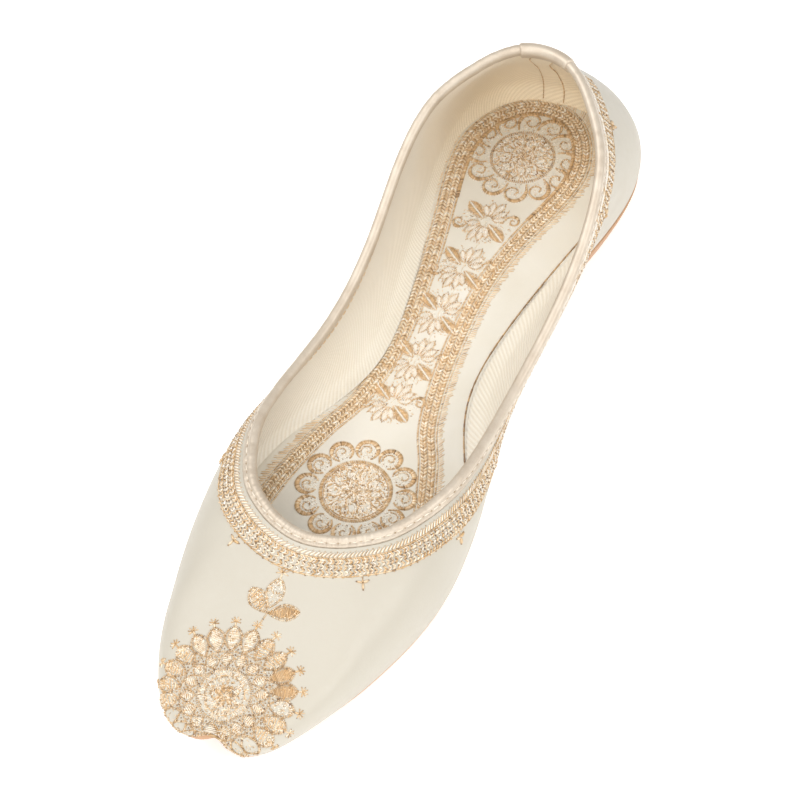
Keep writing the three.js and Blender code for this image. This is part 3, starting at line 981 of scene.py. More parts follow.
def satin(path, half, pitch, slant=0.0):
    """Stitches side by side across a path: half its width may change along it."""
    points, forward = resample(path, pitch)
    if np.ndim(half):
        half = np.interp(np.linspace(0, 1, len(points)), np.linspace(0, 1, len(half)), half)[:, None]
    left = left_of(forward) * half
    return points + left - forward * slant / 2, points - left + forward * slant / 2


def petal_frame(root, tip, width, share):
    """At shares of a petal's length: its middle, and half its width, which is largest past the middle.

    Also the directions forward and to its left.
    """
    root, tip = np.array(root, dtype=float), np.array(tip, dtype=float)
    half = (width / 2 * np.sin(math.pi * share**1.15) ** 0.7)[:, None]
    forward = unit(tip - root)
    return root + (tip - root) * share[:, None], half, forward, left_of(forward)


def petal_marks(root, tip, pitch, shift):
    """Shares of a petal's length at even steps of about a pitch."""
    count = max(3, int(np.linalg.norm(np.subtract(tip, root)) / pitch))
    return (np.arange(count) + shift) / count


def petal_line(root, tip, width):
    middle, half, _, left = petal_frame(root, tip, width, np.linspace(0, 1, 30))
    return np.concatenate([middle + left * half, (middle - left * half)[::-1][1:]])


def petal_fill(root, tip, width, pitch, inset=0.3):
    """Satin stitches across a petal."""
    middle, half, forward, left = petal_frame(root, tip, width, petal_marks(root, tip, pitch, 0.5))
    left = left * np.maximum(half - inset, 0.15)
    lean = forward * pitch * 0.6
    return middle + left + lean, middle - left - lean


def leaf_fill(root, tip, width, pitch):
    """Satin stitches from a leaf's vein out and forward to both its edges."""
    middle, half, forward, left = petal_frame(root, tip, width, petal_marks(root, tip, pitch, 0.3))
    lean = forward * half * 0.45
    starts = np.concatenate([middle + left * 0.25, middle - left * 0.25])
    return starts, np.concatenate([middle + left * half + lean, middle - left * half + lean])


def seed_fill(root, tip, width, density, inset=0.35):
    """Short stitches sown over a petal, more or less along it."""
    count = max(4, int(np.linalg.norm(np.subtract(tip, root)) * width * density))
    share = np.sqrt(RNG.random(count)) * 0.84 + 0.08
    middle, half, _, left = petal_frame(root, tip, width, share)
    middle = middle + left * np.maximum(half - inset, 0.05) * RNG.uniform(-1, 1, half.shape)
    turn = math.atan2(*np.subtract(tip, root)[::-1]) + 0.6 * RNG.standard_normal(count)
    return middle - polar(0.5, turn), middle + polar(0.5, turn)


def dots(points, size=0.55):
    """Very short stitches: knots, and dark dots that paint the shade in needle holes."""
    points = np.asarray(points, dtype=float).reshape(-1, 2)
    half = polar(size / 2, RNG.uniform(0, math.pi, len(points)))
    return points - half, points + half


def sprinkle(centre, inner, outer, density, length, lean=0.0):
    """Loose short stitches in a ring round a centre: lean 0 points them outwards, and half a pi round it."""
    count = int(math.pi * (outer**2 - inner**2) * density)
    turn = RNG.uniform(0, 2 * math.pi, count)
    middle = np.asarray(centre) + polar(np.sqrt(RNG.uniform(inner**2, outer**2, count)), turn)
    half = polar(length / 2, turn + lean + 0.45 * RNG.standard_normal(count))
    return middle - half, middle + half


def smooth_path(points, count):
    """A smooth open curve through points."""
    points = np.asarray(points, dtype=float)
    slopes = np.gradient(points, axis=0)
    marks = np.linspace(0, len(points) - 1.0001, count)
    row = np.floor(marks).astype(int)
    f = (marks - row)[:, None]
    blend = (2 * f**3 - 3 * f**2 + 1) * points[row] + (3 * f**2 - 2 * f**3) * points[row + 1]
    return blend + (f**3 - 2 * f**2 + f) * slopes[row] + (f**3 - f**2) * slopes[row + 1]


# ------------------------------------------------------------------ surfaces for the embroidery
DEPTH_STEP = 0.5
COLLAR_DEPTHS = np.arange(0, 22, DEPTH_STEP)


def collar_surface(offset):
    """The wall below the collar's edge.

    Coordinates: mm round the collar from the back, and mm below its edge.
    """
    levels = levels_below(COLLAR_ROWS, COLLAR_DEPTHS[None, :])
    points, normals = wall(COLLAR_ROWS, levels, np.full((1, len(COLLAR_DEPTHS)), offset))

    def find(coords):
        rows = np.interp(coords[..., 0] % COLLAR_RUN[-1], COLLAR_RUN, np.arange(len(COLLAR_RUN)))
        return rows, coords[..., 1] / DEPTH_STEP

    return Surface(cleft(points), normals, find)


TOE_CENTRE = (111.8, -0.4)
TOE_STEP = 0.4
TOE_TURNS = 180
TOE_REACH = 44


def toe_surface(outer):
    """The toe's outside, unrolled from the medallion's centre by walking over it in straight lines.

    Coordinates: mm from the centre towards the collar, and mm towards +Y.
    """
    rows, columns = outer.shape[:2]
    skin = BVHTree.FromPolygons(outer.reshape(-1, 3).tolist(), grid_faces(rows, columns, True, False))
    start, centre_normal, _, _ = skin.ray_cast(Vector((*TOE_CENTRE, 100)), Vector((0, 0, -1)))
    steps = int(TOE_REACH / TOE_STEP)
    points = np.zeros((TOE_TURNS, steps, 3))
    normals = np.zeros((TOE_TURNS, steps, 3))
    centre_normal = centre_normal if centre_normal.z > 0 else -centre_normal
    ahead = Vector((-1, 0, 0))
    ahead = (ahead - centre_normal * ahead.dot(centre_normal)).normalized()
    aside = ahead.cross(centre_normal)
    for i, turn in enumerate(turns(TOE_TURNS)):
        heading = ahead * math.cos(turn) + aside * math.sin(turn)
        place = start.copy()
        normal = centre_normal.copy()
        for k in range(steps):
            points[i, k] = place
            normals[i, k] = normal
            place, found, _, _ = skin.find_nearest(place + heading * TOE_STEP)
            normal = found if found.dot(normal) > 0 else -found
            heading = (heading - normal * heading.dot(normal)).normalized()

    def find(coords):
        turn = np.arctan2(coords[..., 1], coords[..., 0]) % (2 * math.pi)
        return turn / (2 * math.pi) * TOE_TURNS, np.hypot(coords[..., 0], coords[..., 1]) / TOE_STEP

    return Surface(points, normals, find, wraps=True)


SOCK_GRID = {"x": -122, "y": -36, "end_x": 100, "end_y": 36.1, "step": 0.5}


def sock_surface():
    """The pad's top, from above. Coordinates: x and y in mm."""
    first_x, first_y, end_x, end_y, step = SOCK_GRID.values()
    along, across = np.arange(first_x, end_x, step), np.arange(first_y, end_y, step)
    grid_x, grid_y = np.meshgrid(along, across, indexing="ij")
    height = sock_top(grid_x, grid_y)
    slope_x, slope_y = np.gradient(height, step)
    normals = unit(np.stack([-slope_x, -slope_y, np.ones_like(height)], -1))

    def find(coords):
        return (coords[..., 0] - first_x) / step, (coords[..., 1] - first_y) / step

    return Surface(np.stack([grid_x, grid_y, height], -1), normals, find)


# ------------------------------------------------------------------ embroidery round the collar
# The band: mm from the collar's back and below its edge, and its stitches' half width, pitch and slant.
BAND = {"start": 11.5, "rows": (8.3, 10.0, 11.7), "half": 0.82, "pitch": 0.96, "slant": 0.75, "edge": 12.7}
PALE_LINE = {"depth": 6.35, "half": 0.85, "pitch": 0.92, "slant": 1.3}
PENDANTS = {"start": 14, "pitch": 26.5}


def embroider_collar(gold, silver):
    start, end = BAND["start"], COLLAR_RUN[-1] - BAND["start"]

    def level(depth, shift=0.0):
        return [(start + shift, depth), (end, depth)]

    pale, *stitch = PALE_LINE.values()
    silver.add(satin(level(pale), *stitch), (0.50, 0.44), 0.86)
    gold.add(satin(level(pale, 0.46), *stitch), (0.34, 0.30), 0.46, 0.1)
    gold.add(running(level(pale + 0.98), 1.0), FINE, 0.62)
    gold.add(dots(resample(level(pale - 1.0), 1.45)[0], 0.5), FINE, 0.50)
    half, pitch, slant = BAND["half"], BAND["pitch"], BAND["slant"]
    for number, depth in enumerate(BAND["rows"]):
        row = level(depth, 0.4 * number)
        gold.add(vees(row, half, pitch, slant), (0.56, 0.42), 0.70, 0.17)
        silver.add(vees(row, half, 2 * pitch, slant, 0.27), (0.46, 0.52), 0.93)
        for place, size in ((depth - 0.85, 0.55), (depth + 0.02, 0.42)):
            # Dark dots at the needle holes above and below each row: painted shade.
            holes = resample(level(place, 0.6 * number + size), 1.25)[0]
            gold.add(dots(holes + RNG.normal(0, 0.12, holes.shape), size), (0.52, 0.66), 0.06, 0.08)
    for depth in (BAND["rows"][0] - 0.9, BAND["edge"]):
        gold.add(running(level(depth), 0.9), PLAIN, 0.58, 0.18)
    # A row of darker dots below the band's edge line: painted shade at its needle holes.
    gold.add(dots(resample(level(BAND["edge"] + 0.3), 1.84)[0], 0.5), PLAIN, 0.3, 0.2)
    for place in np.arange(start + PENDANTS["start"], end, PENDANTS["pitch"]):
        embroider_pendant(gold, place)


def embroider_pendant(gold, place):
    """A small trefoil on a short stalk below the band."""
    lobes = ((-160, 1.5), (-20, 1.5), (90, 2.1), (-90, 0.8))
    top = BAND["edge"] + 0.2
    gold.add(running([(place, top), (place, top + 1.4)], 0.7), PLAIN, 0.5)
    heart = np.array((place, top + 1.8))
    tips = heart + [polar(reach, math.radians(degrees)) for degrees, reach in lobes]
    gold.add(([heart] * 4, tips), BOLD, 0.6, 0.1)
    # Dark dots at the heart and the tips: painted shade at the needle holes.
    gold.add(dots([heart, tips[0], tips[1], tips[2]], 0.5), SHADE_DOT, 0.12, 0.05)


# ------------------------------------------------------------------ embroidery on the toe
MEDALLION = {"first": -1.6, "ring": 7.6, "ovals": 16, "outer_ring": 12.2, "root": 12.8, "tip": 20.0}
# What fills each outer petal, from the one that points to the collar round by +Y.
PETAL_FILLS = ("silver", "pale", "pale", "gold", "gold", "open", "pale", "pale", "bare", "bare", "bare")
PETAL_FILLS += ("bare", "bare", "bare", "bare", "pale", "pale", "pale", "pale", "silver", "silver", "silver")


def embroider_petal(gold, silver, root, tip, width, fill, tone=0.6, cord=0.42):
    """A petal with a corded outline, filled in one of five ways."""
    if fill == "gold":
        gold.add(petal_fill(root, tip, width, 0.42, 0.1), PLAIN, 0.46, 0.09)
        gold.add(seed_fill(root, tip, width, 1.2), (0.40, 0.55), 0.56, 0.18)
    elif fill == "pale":
        gold.add(petal_fill(root, tip, width, 0.8), PLAIN, 0.58, 0.12)
        gold.add(seed_fill(root, tip, width, 1.6), (0.42, 0.55), 0.66, 0.2)
        silver.add(seed_fill(root, tip, width, 0.7), (0.36, 0.62), 0.9)
    elif fill == "silver":
        silver.add(petal_fill(root, tip, width, 0.5), PLAIN, 0.68, 0.15)
        silver.add(seed_fill(root, tip, width, 0.6, 0.6), (0.40, 0.55), 0.85, 0.2)
        gold.add(seed_fill(root, tip, width, 1.3, 0.6), (0.30, 0.62), 0.55, 0.2)
    elif fill == "open":
        silver.add(seed_fill(root, tip, width, 1.5), PLAIN, 0.85, 0.2)
        gold.add(seed_fill(root, tip, width, 1.1, 0.5), FINE, 0.58, 0.2)
    elif fill == "bare":
        gold.add(seed_fill(root, tip, width, 0.5, 0.6), FINE, 0.64, 0.2)
    line = petal_line(root, tip, width)
    gold.add(satin(line, cord, 0.5, 0.35), (0.5, 0.5), tone, 0.2)
    silver.add(dots(resample(line, 2.1)[0], 0.5), (0.42, 0.62), 0.9)
    # Dark dots along the outline: painted shade at its needle holes.
    shaded_holes = resample(line, 1.25)[0]
    gold.add(dots(shaded_holes + RNG.normal(0, 0.16, shaded_holes.shape), 0.42), (0.42, 0.64), 0.18, 0.14)


def embroider_star(gold, root, turn, size=1.0):
    """A stalk that ends in a small burst of stitches."""
    turns = turn + np.radians((-105, -62, -25, 25, 62, 105))
    heart = np.array(root) + polar(1.5 * size, turn)
    gold.add(([root], [heart]), THICK, 0.62)
    gold.add(([heart] * 6, heart + polar(1.5 * size, turns)), (0.36, 0.32), 0.55, 0.2)
    gold.add(dots([heart, *(heart + polar(1.35 * size, turns))], 0.45), PLAIN, 0.4, 0.25)


def embroider_toe(gold, silver):
    centre = (0, 0)
    ring, outer_ring = MEDALLION["ring"], MEDALLION["outer_ring"]
    # The flower in the middle, on a loose pale ground.
    for turn in turns(7, 0.3):
        gold.add(petal_fill(polar(0.4, turn), polar(3.4, turn), 2.0, 0.4, 0.1), PLAIN, 0.5, 0.2)
    gold.add(sprinkle(centre, 0, 4.6, 2.2, 1.0, 0.8), PLAIN, 0.55, 0.25)
    silver.add(sprinkle(centre, 0, ring - 0.3, 1.3, 1.2), FINE, 0.74, 0.15)
    gold.add(sprinkle(centre, 3.8, ring - 0.3, 2.3, 1.0, 0.4), FINE, 0.56, 0.2)
    gold.add(running(arc(centre, 5.6), 0.9), FINE, 0.5, 0.2)
    # Rings of dark dots: painted shade at the needle holes.
    gold.add(dots(arc(centre, 5.2, count=23)), PLAIN, 0.12)
    gold.add(dots(arc(centre, 3.0, 0.2, count=13)), PLAIN, 0.12)
    gold.add(vees(arc(centre, ring), 0.55, 0.6, 0.45), (0.46, 0.48), 0.46, 0.2)
    # The ring of plump ovals, with loose stitches between them.
    for turn in turns(MEDALLION["ovals"]):
        embroider_petal(gold, silver, polar(8.3, turn), polar(12.2, turn), 3.7, "silver", 0.50, 0.36)
        gap = turn + math.pi / MEDALLION["ovals"]
        # Dark dots in the gaps between the ovals: painted shade.
        gold.add(dots([polar(8.6, gap), polar(11.7, gap), polar(12.8, gap)], 0.6), SHADE_DOT, 0.12, 0.1)
    gold.add(sprinkle(centre, ring + 0.3, outer_ring + 1.6, 1.0, 0.9, 0.5), FINE, 0.5, 0.22)
    gold.add(satin(arc(centre, outer_ring + 0.4), 0.4, 0.5, 0.3), PLAIN, 0.48, 0.2)
    # The outer petals and their stars.
    for k, fill in enumerate(PETAL_FILLS):
        turn = math.radians(360 * k / len(PETAL_FILLS) + MEDALLION["first"])
        root, tip = polar(MEDALLION["root"], turn), polar(MEDALLION["tip"], turn)
        embroider_petal(gold, silver, root, tip, 4.8, fill, 0.47, 0.52)
        if fill == "silver":
            gold.add(dots([polar(15.4, turn), polar(16.6, turn)], 0.6), FINE, 0.7)
        between = turn + math.pi / len(PETAL_FILLS)
        # Dark dots between the outer petals: painted shade.
        gold.add(dots([polar(13.4, between), polar(15.0, between), polar(16.6, between)], 0.6), SHADE_DOT, 0.14)
        if fill != "bare":
            embroider_star(gold, tip, turn)
    embroider_tulip(gold, silver)


def embroider_tulip(gold, silver):
    """Three leaves on a short stem above the medallion, with a star at the top."""
    gold.add(satin([(20.4, -0.5), (26.4, 0.3)], 0.45, 0.5, 0.3), PLAIN, 0.55)
    embroider_petal(gold, silver, (26.0, -0.4), (31.0, -7.0), 5.0, "pale", 0.6)
    embroider_petal(gold, silver, (27.6, 0.0), (36.4, -0.9), 4.8, "open", 0.6)
    embroider_petal(gold, silver, (26.0, 0.7), (29.6, 8.2), 4.6, "gold", 0.6)
    embroider_star(gold, (36.4, -0.9), math.radians(-6), 1.25)


# ------------------------------------------------------------------ embroidery on the sock
# The border's outer line: x, the middle's y and half the width there, from the heel's back.
BORDER = np.array(
    [
        (-118.2, -4.6, 0.0),
        (-117.6, -4.6, 4.5),
        (-115.8, -4.7, 9.0),
        (-112.0, -4.8, 13.6),
        (-106.0, -5.0, 17.8),
        (-98.0, -5.2, 20.4),
        (-89.0, -5.4, 20.6),
        (-79.0, -5.7, 18.8),
        (-69.0, -6.0, 16.2),
        (-57.0, -6.2, 13.6),
        (-45.0, -6.1, 12.0),
        (-30.0, -5.3, 11.2),
        (-15.0, -4.6, 11.8),
        (0.0, -4.0, 14.6),
        (12.0, -3.3, 19.6),
        (31.0, -2.3, 25.2),
        (50.0, -1.6, 27.4),
        (70.0, -1.0, 26.4),
    ]
)
HEEL_MEDALLION = {"centre": (-95.0, -5.4), "ring": 9.4, "scrolls": 12, "loop": 2.75}
FRONT_MEDALLION = {"centre": (28.6, -2.2), "ring": 10.1, "discs": 12, "reach": 14.2, "loop": 3.6}
STEM = ((-69.0, -5.6, 7.6), (-51.8, -5.4, 7.4), (-35.6, -5.8, 7.0), (-18.9, -5.7, 6.8), (-3.2, -5.9, 6.8))
# A scroll that rises from a ring and curls in, as steps across and out in units of its own radius.
SCROLL = ((-1.05, -1.2), (-1.2, -0.3), (-0.85, 0.7), (0.0, 1.1), (0.8, 0.75), (1.05, 0.0))
SCROLL += ((0.6, -0.6), (0.0, -0.6), (-0.35, -0.15), (0.0, 0.2))


def border_line(inset):
    """The border's line from the front on -Y, round the heel and to the front on +Y, moved in."""
    there = BORDER[1:, 0], BORDER[1:, 1] - BORDER[1:, 2]
    back = BORDER[1:, 0], BORDER[1:, 1] + BORDER[1:, 2]
    turned = np.stack(there, -1)[::-1]
    line = smooth_path(np.concatenate([turned, BORDER[:1, :2], np.stack(back, -1)]), 1200)
    return line - left_of(unit(np.gradient(line, axis=0))) * inset


def embroider_border(gold, silver):
    gold.add(satin(border_line(0.5), 0.42, 0.55, 0.6), (0.46, 0.42), 0.62, 0.2)
    for inset, half in ((2.1, 1.15), (4.3, 1.05)):
        line = border_line(inset)
        gold.add(vees(line, half, 1.15, 1.0), (0.64, 0.60), 0.84, 0.12)
        gold.add(vees(line, half, 1.15, 1.0, 0.5), (0.40, 0.36), 0.46, 0.12)
        silver.add(vees(line, half * 0.85, 4.6, 0.9, 0.12), (0.40, 0.66), 0.95)
        # Dark dots along each plait: painted shade at its needle holes.
        gold.add(dots(resample(line, 2.3)[0], 0.45), PLAIN, 0.2, 0.12)
    inner = border_line(5.9)
    heel = inner[:, 0] < -74
    gold.add(satin(inner[heel], 0.62, 0.5, 0.6), (0.5, 0.55), 0.44, 0.14)
    first = np.argmax(heel)
    for part in (inner[: first + 1], inner[first + heel.sum() :]):
        gold.add(satin(part, 0.42, 0.55, 0.6), (0.46, 0.46), 0.58, 0.16)
    # The fringe outside it: fine slanted stitches, longer round the heel and along -Y.
    points, forward = resample(border_line(0.2), 0.72)
    short = (points[:, 1] > 0) & (points[:, 0] > -95)
    reach = np.where(short, 2.2, 3.0) * (0.7 + 0.6 * RNG.random(len(points)))
    gold.add((points, points + (left_of(forward) * 0.8 - forward * 0.6) * reach[:, None]), FINE, 0.62, 0.14)


def embroider_disc(gold, silver, centre, radius):
    """A disc worked all over in short stitches, with a shaggy flower in its middle."""
    silver.add(sprinkle(centre, 0, radius, 1.5, 1.3, 0.3), PLAIN, 0.88, 0.12)
    gold.add(sprinkle(centre, 0, radius, 1.2, 1.2, 0.3), PLAIN, 0.6, 0.2)
    for turn in turns(9, 0.2):
        middle = centre + polar(radius * 0.62, turn)
        silver.add(satin(arc(middle, 1.5, turn + 0.6, 2.6, 12), 0.5, 0.4, 0.2), (0.42, 0.66), 0.95)
        gold.add(satin(arc(middle, 2.1, turn + 0.5, 2.8, 14), 0.34, 0.4, 0.2), (0.42, 0.68), 0.52, 0.16)
    for turn in turns(14):
        middle = centre + polar(radius * 0.76, turn)
        gold.add(running(arc(middle, 1.35, turn - 1.7, 3.4, 12), 0.6), (0.46, 0.52), 0.5, 0.2)
    for turn in turns(8):
        root, tip = centre + polar(0.3, turn), centre + polar(radius * 0.5, turn)
        embroider_petal(gold, silver, root, tip, 2.2, "open", 0.6)
    # Dark dots scattered over the disc: painted shade in the gaps between its stitches.
    count = int(radius**2 * 0.9)
    scattered = polar(radius * np.sqrt(RNG.random(count)), RNG.uniform(0, 2 * math.pi, count))
    gold.add(dots(centre + scattered, 0.45), PLAIN, 0.15, 0.08)


def embroider_scroll(gold, silver, root, turn, size, hand=-1):
    """One scroll that stands on root and points outwards at a turn."""
    out, across = polar(1.0, turn), hand * left_of(polar(1.0, turn))
    steps = smooth_path(SCROLL, 50)
    path = np.asarray(root) + (steps[:, :1] * across + (steps[:, 1:] + 1.2) * out) * size
    half = np.array((0.35, 0.6, 0.78, 0.8, 0.68, 0.54, 0.44, 0.38, 0.34, 0.32)) * (0.55 + 0.14 * size)
    gold.add(satin(path, half, 0.36, 0.2), (0.46, 0.56), 0.50, 0.16)
    outer = path[4:34] + hand * left_of(unit(np.gradient(path[4:34], axis=0))) * 0.75 * -1
    silver.add(satin(outer, 0.3, 0.8, 0.2), FINE, 0.8)
    middle = np.asarray(root) + out * 1.2 * size
    silver.add(sprinkle(middle, 0, size * 0.7, 2.0, 0.7), FINE, 0.9)


def embroider_heel(gold, silver):
    centre = np.array(HEEL_MEDALLION["centre"])
    ring = HEEL_MEDALLION["ring"]
    embroider_disc(gold, silver, centre, ring - 0.7)
    gold.add(vees(arc(centre, ring), 0.5, 0.6, 0.45), (0.46, 0.5), 0.42, 0.15)
    for turn in turns(HEEL_MEDALLION["scrolls"], 0.25):
        embroider_scroll(gold, silver, centre + polar(ring + 0.9, turn), turn, HEEL_MEDALLION["loop"])
    silver.add(sprinkle(centre, ring + 0.6, ring + 4.4, 0.9, 0.9), FINE, 0.9)
    gold.add(sprinkle(centre, ring + 0.6, ring + 6.0, 0.5, 0.8), FINE, 0.62, 0.2)


def embroider_front(gold, silver):
    centre = np.array(FRONT_MEDALLION["centre"])
    ring, loop = FRONT_MEDALLION["ring"], FRONT_MEDALLION["loop"]
    embroider_disc(gold, silver, centre, ring - 0.8)
    gold.add(satin(arc(centre, ring), 0.65, 0.55, 0.5), (0.48, 0.5), 0.55, 0.15)
    gold.add(running(arc(centre, ring - 0.9), 0.9), PLAIN, 0.4, 0.15)
    for turn in turns(FRONT_MEDALLION["discs"], 0.2):
        middle = centre + polar(FRONT_MEDALLION["reach"], turn)
        silver.add(sprinkle(middle, 0, loop * 0.8, 2.2, 0.9), PLAIN, 0.9)
        crescent = arc(middle, loop - 0.5, turn - 2.6, 5.2, 40)
        half = 0.35 + 0.5 * np.sin(np.linspace(0, math.pi, 20))
        gold.add(satin(crescent, half, 0.36, 0.2), (0.46, 0.56), 0.54, 0.18)
        spiral = middle + polar(loop * np.linspace(0.6, 0.12, 30), turn + np.linspace(2.4, -3.6, 30))
        gold.add(satin(spiral, 0.32, 0.4, 0.2), (0.42, 0.6), 0.50, 0.16)
        # A ring of dark dots in each small disc: painted shade at the needle holes.
        gold.add(dots(arc(middle, loop - 1.2, count=13), 0.4), PLAIN, 0.2, 0.12)


def embroider_spray(gold, silver, root, turn, length):
    """A pale fan of small lobes that ends in a curl."""
    root = np.asarray(root, dtype=float)
    for spread in (-48, -24, 0, 24, 48):
        angle = turn + math.radians(spread)
        reach = length * (1.0 - abs(spread) / 160)
        start, tip = root + polar(length * 0.2, angle), root + polar(reach, angle)
        silver.add(petal_fill(start, tip, 2.3, 0.45, 0.1), PLAIN, 0.94, 0.06)
        gold.add(satin(petal_line(start, tip, 2.3), 0.32, 0.5, 0.3), (0.40, 0.46), 0.52, 0.18)
        # Darker dots past each lobe's tip and at its middle: painted shade at the needle holes.
        holes = [root + polar(place, angle) for place in (reach + 0.3, reach * 0.5)]
        gold.add(dots(holes, 0.45), PLAIN, 0.3, 0.2)


def embroider_stem(gold, silver):
    for number, (x, y, length) in enumerate(STEM):
        root = np.array([x, y])
        silver.add(sprinkle(root, 1.0, 7.0, 0.8, 1.0, 0.6), FINE, 0.9, 0.1)
        gold.add(sprinkle(root, 1.0, 8.0, 0.85, 0.9, 0.6), FINE, 0.54, 0.2)
        for turn in (math.radians(56), math.radians(236)):
            start, tip = root + polar(1.4, turn), root + polar(1.4 + length, turn)
            gold.add(leaf_fill(start, tip, 3.6, 0.4), (0.44, 0.40), 0.50, 0.08)
            gold.add(satin(petal_line(start, tip, 3.8), 0.3, 0.45, 0.25), (0.38, 0.46), 0.62, 0.16)
            silver.add(running([start, tip], 0.9), (0.36, 0.50), 0.95, 0.04)
            across = turn - math.radians(76)
            embroider_spray(gold, silver, root + polar(0.6, across), across, 7.6)
            curl = root + polar(6.4, across - 0.95)
            embroider_scroll(gold, silver, curl, across - 0.5, 1.5)
        if number:
            before = np.array(STEM[number - 1][:2])
            stalk = smooth_path([before, (before + root) / 2 + (0, 0.9), root], 30)
            silver.add(satin(stalk, 0.32, 0.5, 0.35), PLAIN, 0.75)


# ------------------------------------------------------------------ machine stitches
BINDING_SEAM = {"start": 11, "pitch": 2.95, "gap": 0.45, "hole": 0.36}
# Where the painted shadow in the pad's crease runs: x from and to, inset and pitch.
PAD_CREASE_SHADOW = {"start": -84, "end": 34, "inset": SOCK_INSET + 1.8, "pitch": 1.5}
LINING_SEAM = {"start": 12, "depth": BINDING_INNER + 1.0, "pitch": 2.2}


def sew_binding(thread):
    """The row of short stitches in the binding's outer leg, with dark dots at its needle holes, painted
    shade.
    """
    start, pitch, gap, hole = BINDING_SEAM.values()
    marks = np.arange(start, COLLAR_RUN[-1] - start, pitch)
    holes = np.stack([marks, np.full(len(marks), BINDING_OUTER - SEAM_VALLEY["up"])], -1)
    thread.add((holes + (gap, 0), holes + (pitch - gap, 0)), (0.36, 0.16), 0.75, 0.05)
    # Dark dots at the needle holes: painted shade.
    thread.add((holes - (hole, 0), holes + (hole, 0)), (0.52, 0.20), 0.0, 0.04)


def paint_pad_crease_shadow(gold):
    """A dark brown line of stitches in the crease between pad and lining along +Y: painted shadow in the
    crease.
    """
    x = np.linspace(PAD_CREASE_SHADOW["start"], PAD_CREASE_SHADOW["end"], 120)
    line = np.stack([x, half_width_at(x, PAD_CREASE_SHADOW["inset"])], -1)
    gold.add(running(line, PAD_CREASE_SHADOW["pitch"], 0.2), (0.5, 0.5), 0.18, 0.1)


def sew_lining(thread):
    """The two seams at the heel, and the row of stitches below the binding's inner leg."""
    for seam in HEEL_SEAMS:
        thread.add(running(smooth_path(seam, 60), 1.3, 0.1), (0.36, 0.24), 0.36, 0.08)
    start, depth, pitch = LINING_SEAM.values()
    inner = [(start, depth), (COLLAR_RUN[-1] - start, depth)]
    thread.add(running(inner, pitch, -0.1), (0.30, 0.18), 0.55, 0.06)


# ------------------------------------------------------------------ stage, lights and camera
# A white floor with a little glow, so that the ground stays white in the shoe's shade.
FLOOR_LOOK = {
    "Base Color": (0.8, 0.8, 0.8, 1),
    "Roughness": 0.9,
    "Emission Color": (1, 1, 1, 1),
    "Emission Strength": 0.5,
}
FLOOR_REACH = 3.0
FLOOR_CORNERS = ((-1, -1), (1, -1), (1, 1), (-1, 1))


def make_stage():
    floor_material = bpy.data.materials.new("floor")
    floor_material.use_nodes = True
    shader = floor_material.node_tree.nodes["Principled BSDF"]
    for name, value in FLOOR_LOOK.items():
        shader.inputs[name].default_value = value
    mesh = bpy.data.meshes.new("floor")
    corners = [(across * FLOOR_REACH, aside * FLOOR_REACH, 0) for across, aside in FLOOR_CORNERS]
    mesh.from_pydata(corners, [], [(0, 1, 2, 3)])
    mesh.materials.append(floor_material)
    floor = bpy.data.objects.new("floor", mesh)
    bpy.context.scene.collection.objects.link(floor)


def facing(azimuth, elevation, roll=0.0):
    """The axes of a camera or light that looks back from an azimuth and elevation."""
    azimuth, elevation, roll = (math.radians(value) for value in (azimuth, elevation, roll))
    level_reach = math.cos(elevation)
    back = Vector((level_reach * math.cos(azimuth), level_reach * math.sin(azimuth), math.sin(elevation)))
    level = Vector((0, 0, 1)).cross(back).normalized()
    upright = back.cross(level)
    right = level * math.cos(roll) - upright * math.sin(roll)
    up = upright * math.cos(roll) + level * math.sin(roll)
    return Matrix((right, up, back)).transposed()


# Each lamp's name, azimuth, elevation, distance, size, power and colour.
LAMPS = (
    ("overhead", 0, 80, 1.4, 1.1, 5.3, (1.0, 0.99, 0.97)),
    ("front", 15, 37, 1.4, 1.0, 8.0, (1.0, 0.985, 0.965)),
    ("left", -80, 55, 1.4, 0.8, 7.6, (1.0, 0.99, 0.975)),
    ("right", 95, 38, 1.4, 0.8, 7.2, (1.0, 0.99, 0.975)),
)


def add_light(name, azimuth, elevation, distance, size, power, colour):
    light = bpy.data.lights.new(name, "AREA")
    light.shape = "DISK"
    light.size = size
    light.energy = power
    light.color = colour
    lamp = bpy.data.objects.new(name, light)
    axes = facing(azimuth, elevation)
    lamp.matrix_world = Matrix.Translation(axes.col[2] * distance) @ axes.to_4x4()
    bpy.context.scene.collection.objects.link(lamp)


CAMERA = {
    "azimuth": 30.55,
    "elevation": 55.12,
    "roll": 6.478,
    "distance": 1.13876,
    "aim": (0.0036, 0.001, 0.022),
    "lens": 180.0,
}


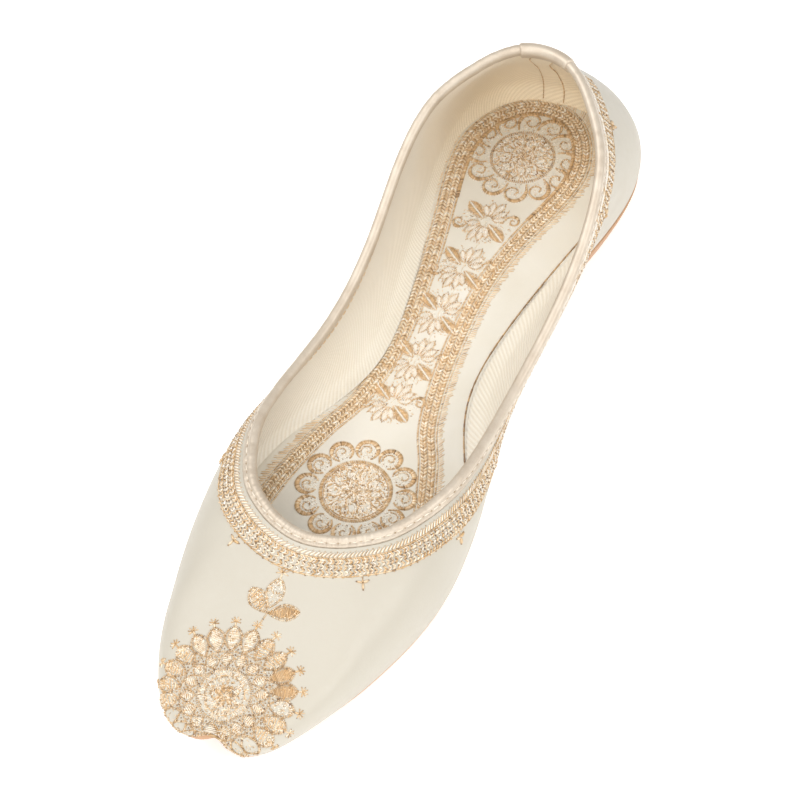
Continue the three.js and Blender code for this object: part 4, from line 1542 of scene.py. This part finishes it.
def make_camera():
    data = bpy.data.cameras.new("camera")
    data.lens = CAMERA["lens"]
    data.sensor_width = 36
    data.clip_end = 20
    camera = bpy.data.objects.new("camera", data)
    axes = facing(CAMERA["azimuth"], CAMERA["elevation"], CAMERA["roll"])
    place = Vector(CAMERA["aim"]) + axes.col[2] * CAMERA["distance"]
    camera.matrix_world = Matrix.Translation(place) @ axes.to_4x4()
    bpy.context.scene.collection.objects.link(camera)
    bpy.context.scene.camera = camera


def make_world():
    world = bpy.data.worlds.new("studio")
    world.use_nodes = True
    background = world.node_tree.nodes["Background"]
    background.inputs["Color"].default_value = (1.0, 0.985, 0.96, 1)
    background.inputs["Strength"].default_value = 0.38
    bpy.context.scene.world = world
    bpy.context.scene.view_settings.view_transform = "Standard"


make_camera()
make_world()
make_stage()
for lamp in LAMPS:
    add_light(*lamp)

outer_face = make_upper()
lining_face = make_lining()
make_binding()
make_patch()
make_sock()
make_sole()

collar_face = collar_surface(0.03)
collar_gold = Thread("collar_gold_thread", GOLD, collar_face)
collar_silver = Thread("collar_silver_thread", SILVER, collar_face)
embroider_collar(collar_gold, collar_silver)

toe_face = toe_surface(outer_face)
toe_gold = Thread("toe_gold_thread", GOLD, toe_face)
toe_silver = Thread("toe_silver_thread", SILVER, toe_face)
embroider_toe(toe_gold, toe_silver)

sock_face = sock_surface()
border_gold = Thread("sock_border_gold_thread", GOLD, sock_face)
sock_gold = Thread("sock_gold_thread", GOLD, sock_face)
sock_silver = Thread("sock_silver_thread", SILVER, sock_face)
embroider_border(border_gold, sock_silver)
paint_pad_crease_shadow(border_gold)
for embroider in (embroider_heel, embroider_front, embroider_stem):
    embroider(sock_gold, sock_silver)

binding_thread = Thread("binding_stitches", SILVER, collar_surface(0.42))
sew_binding(binding_thread)
lining_thread = Thread("lining_stitches", GOLD, lining_face)
sew_lining(lining_thread)

on_leather = (collar_gold, collar_silver, toe_gold, toe_silver)
on_pad = (border_gold, sock_gold, sock_silver)
for work in (*on_leather, *on_pad, binding_thread, lining_thread):
    work.make()
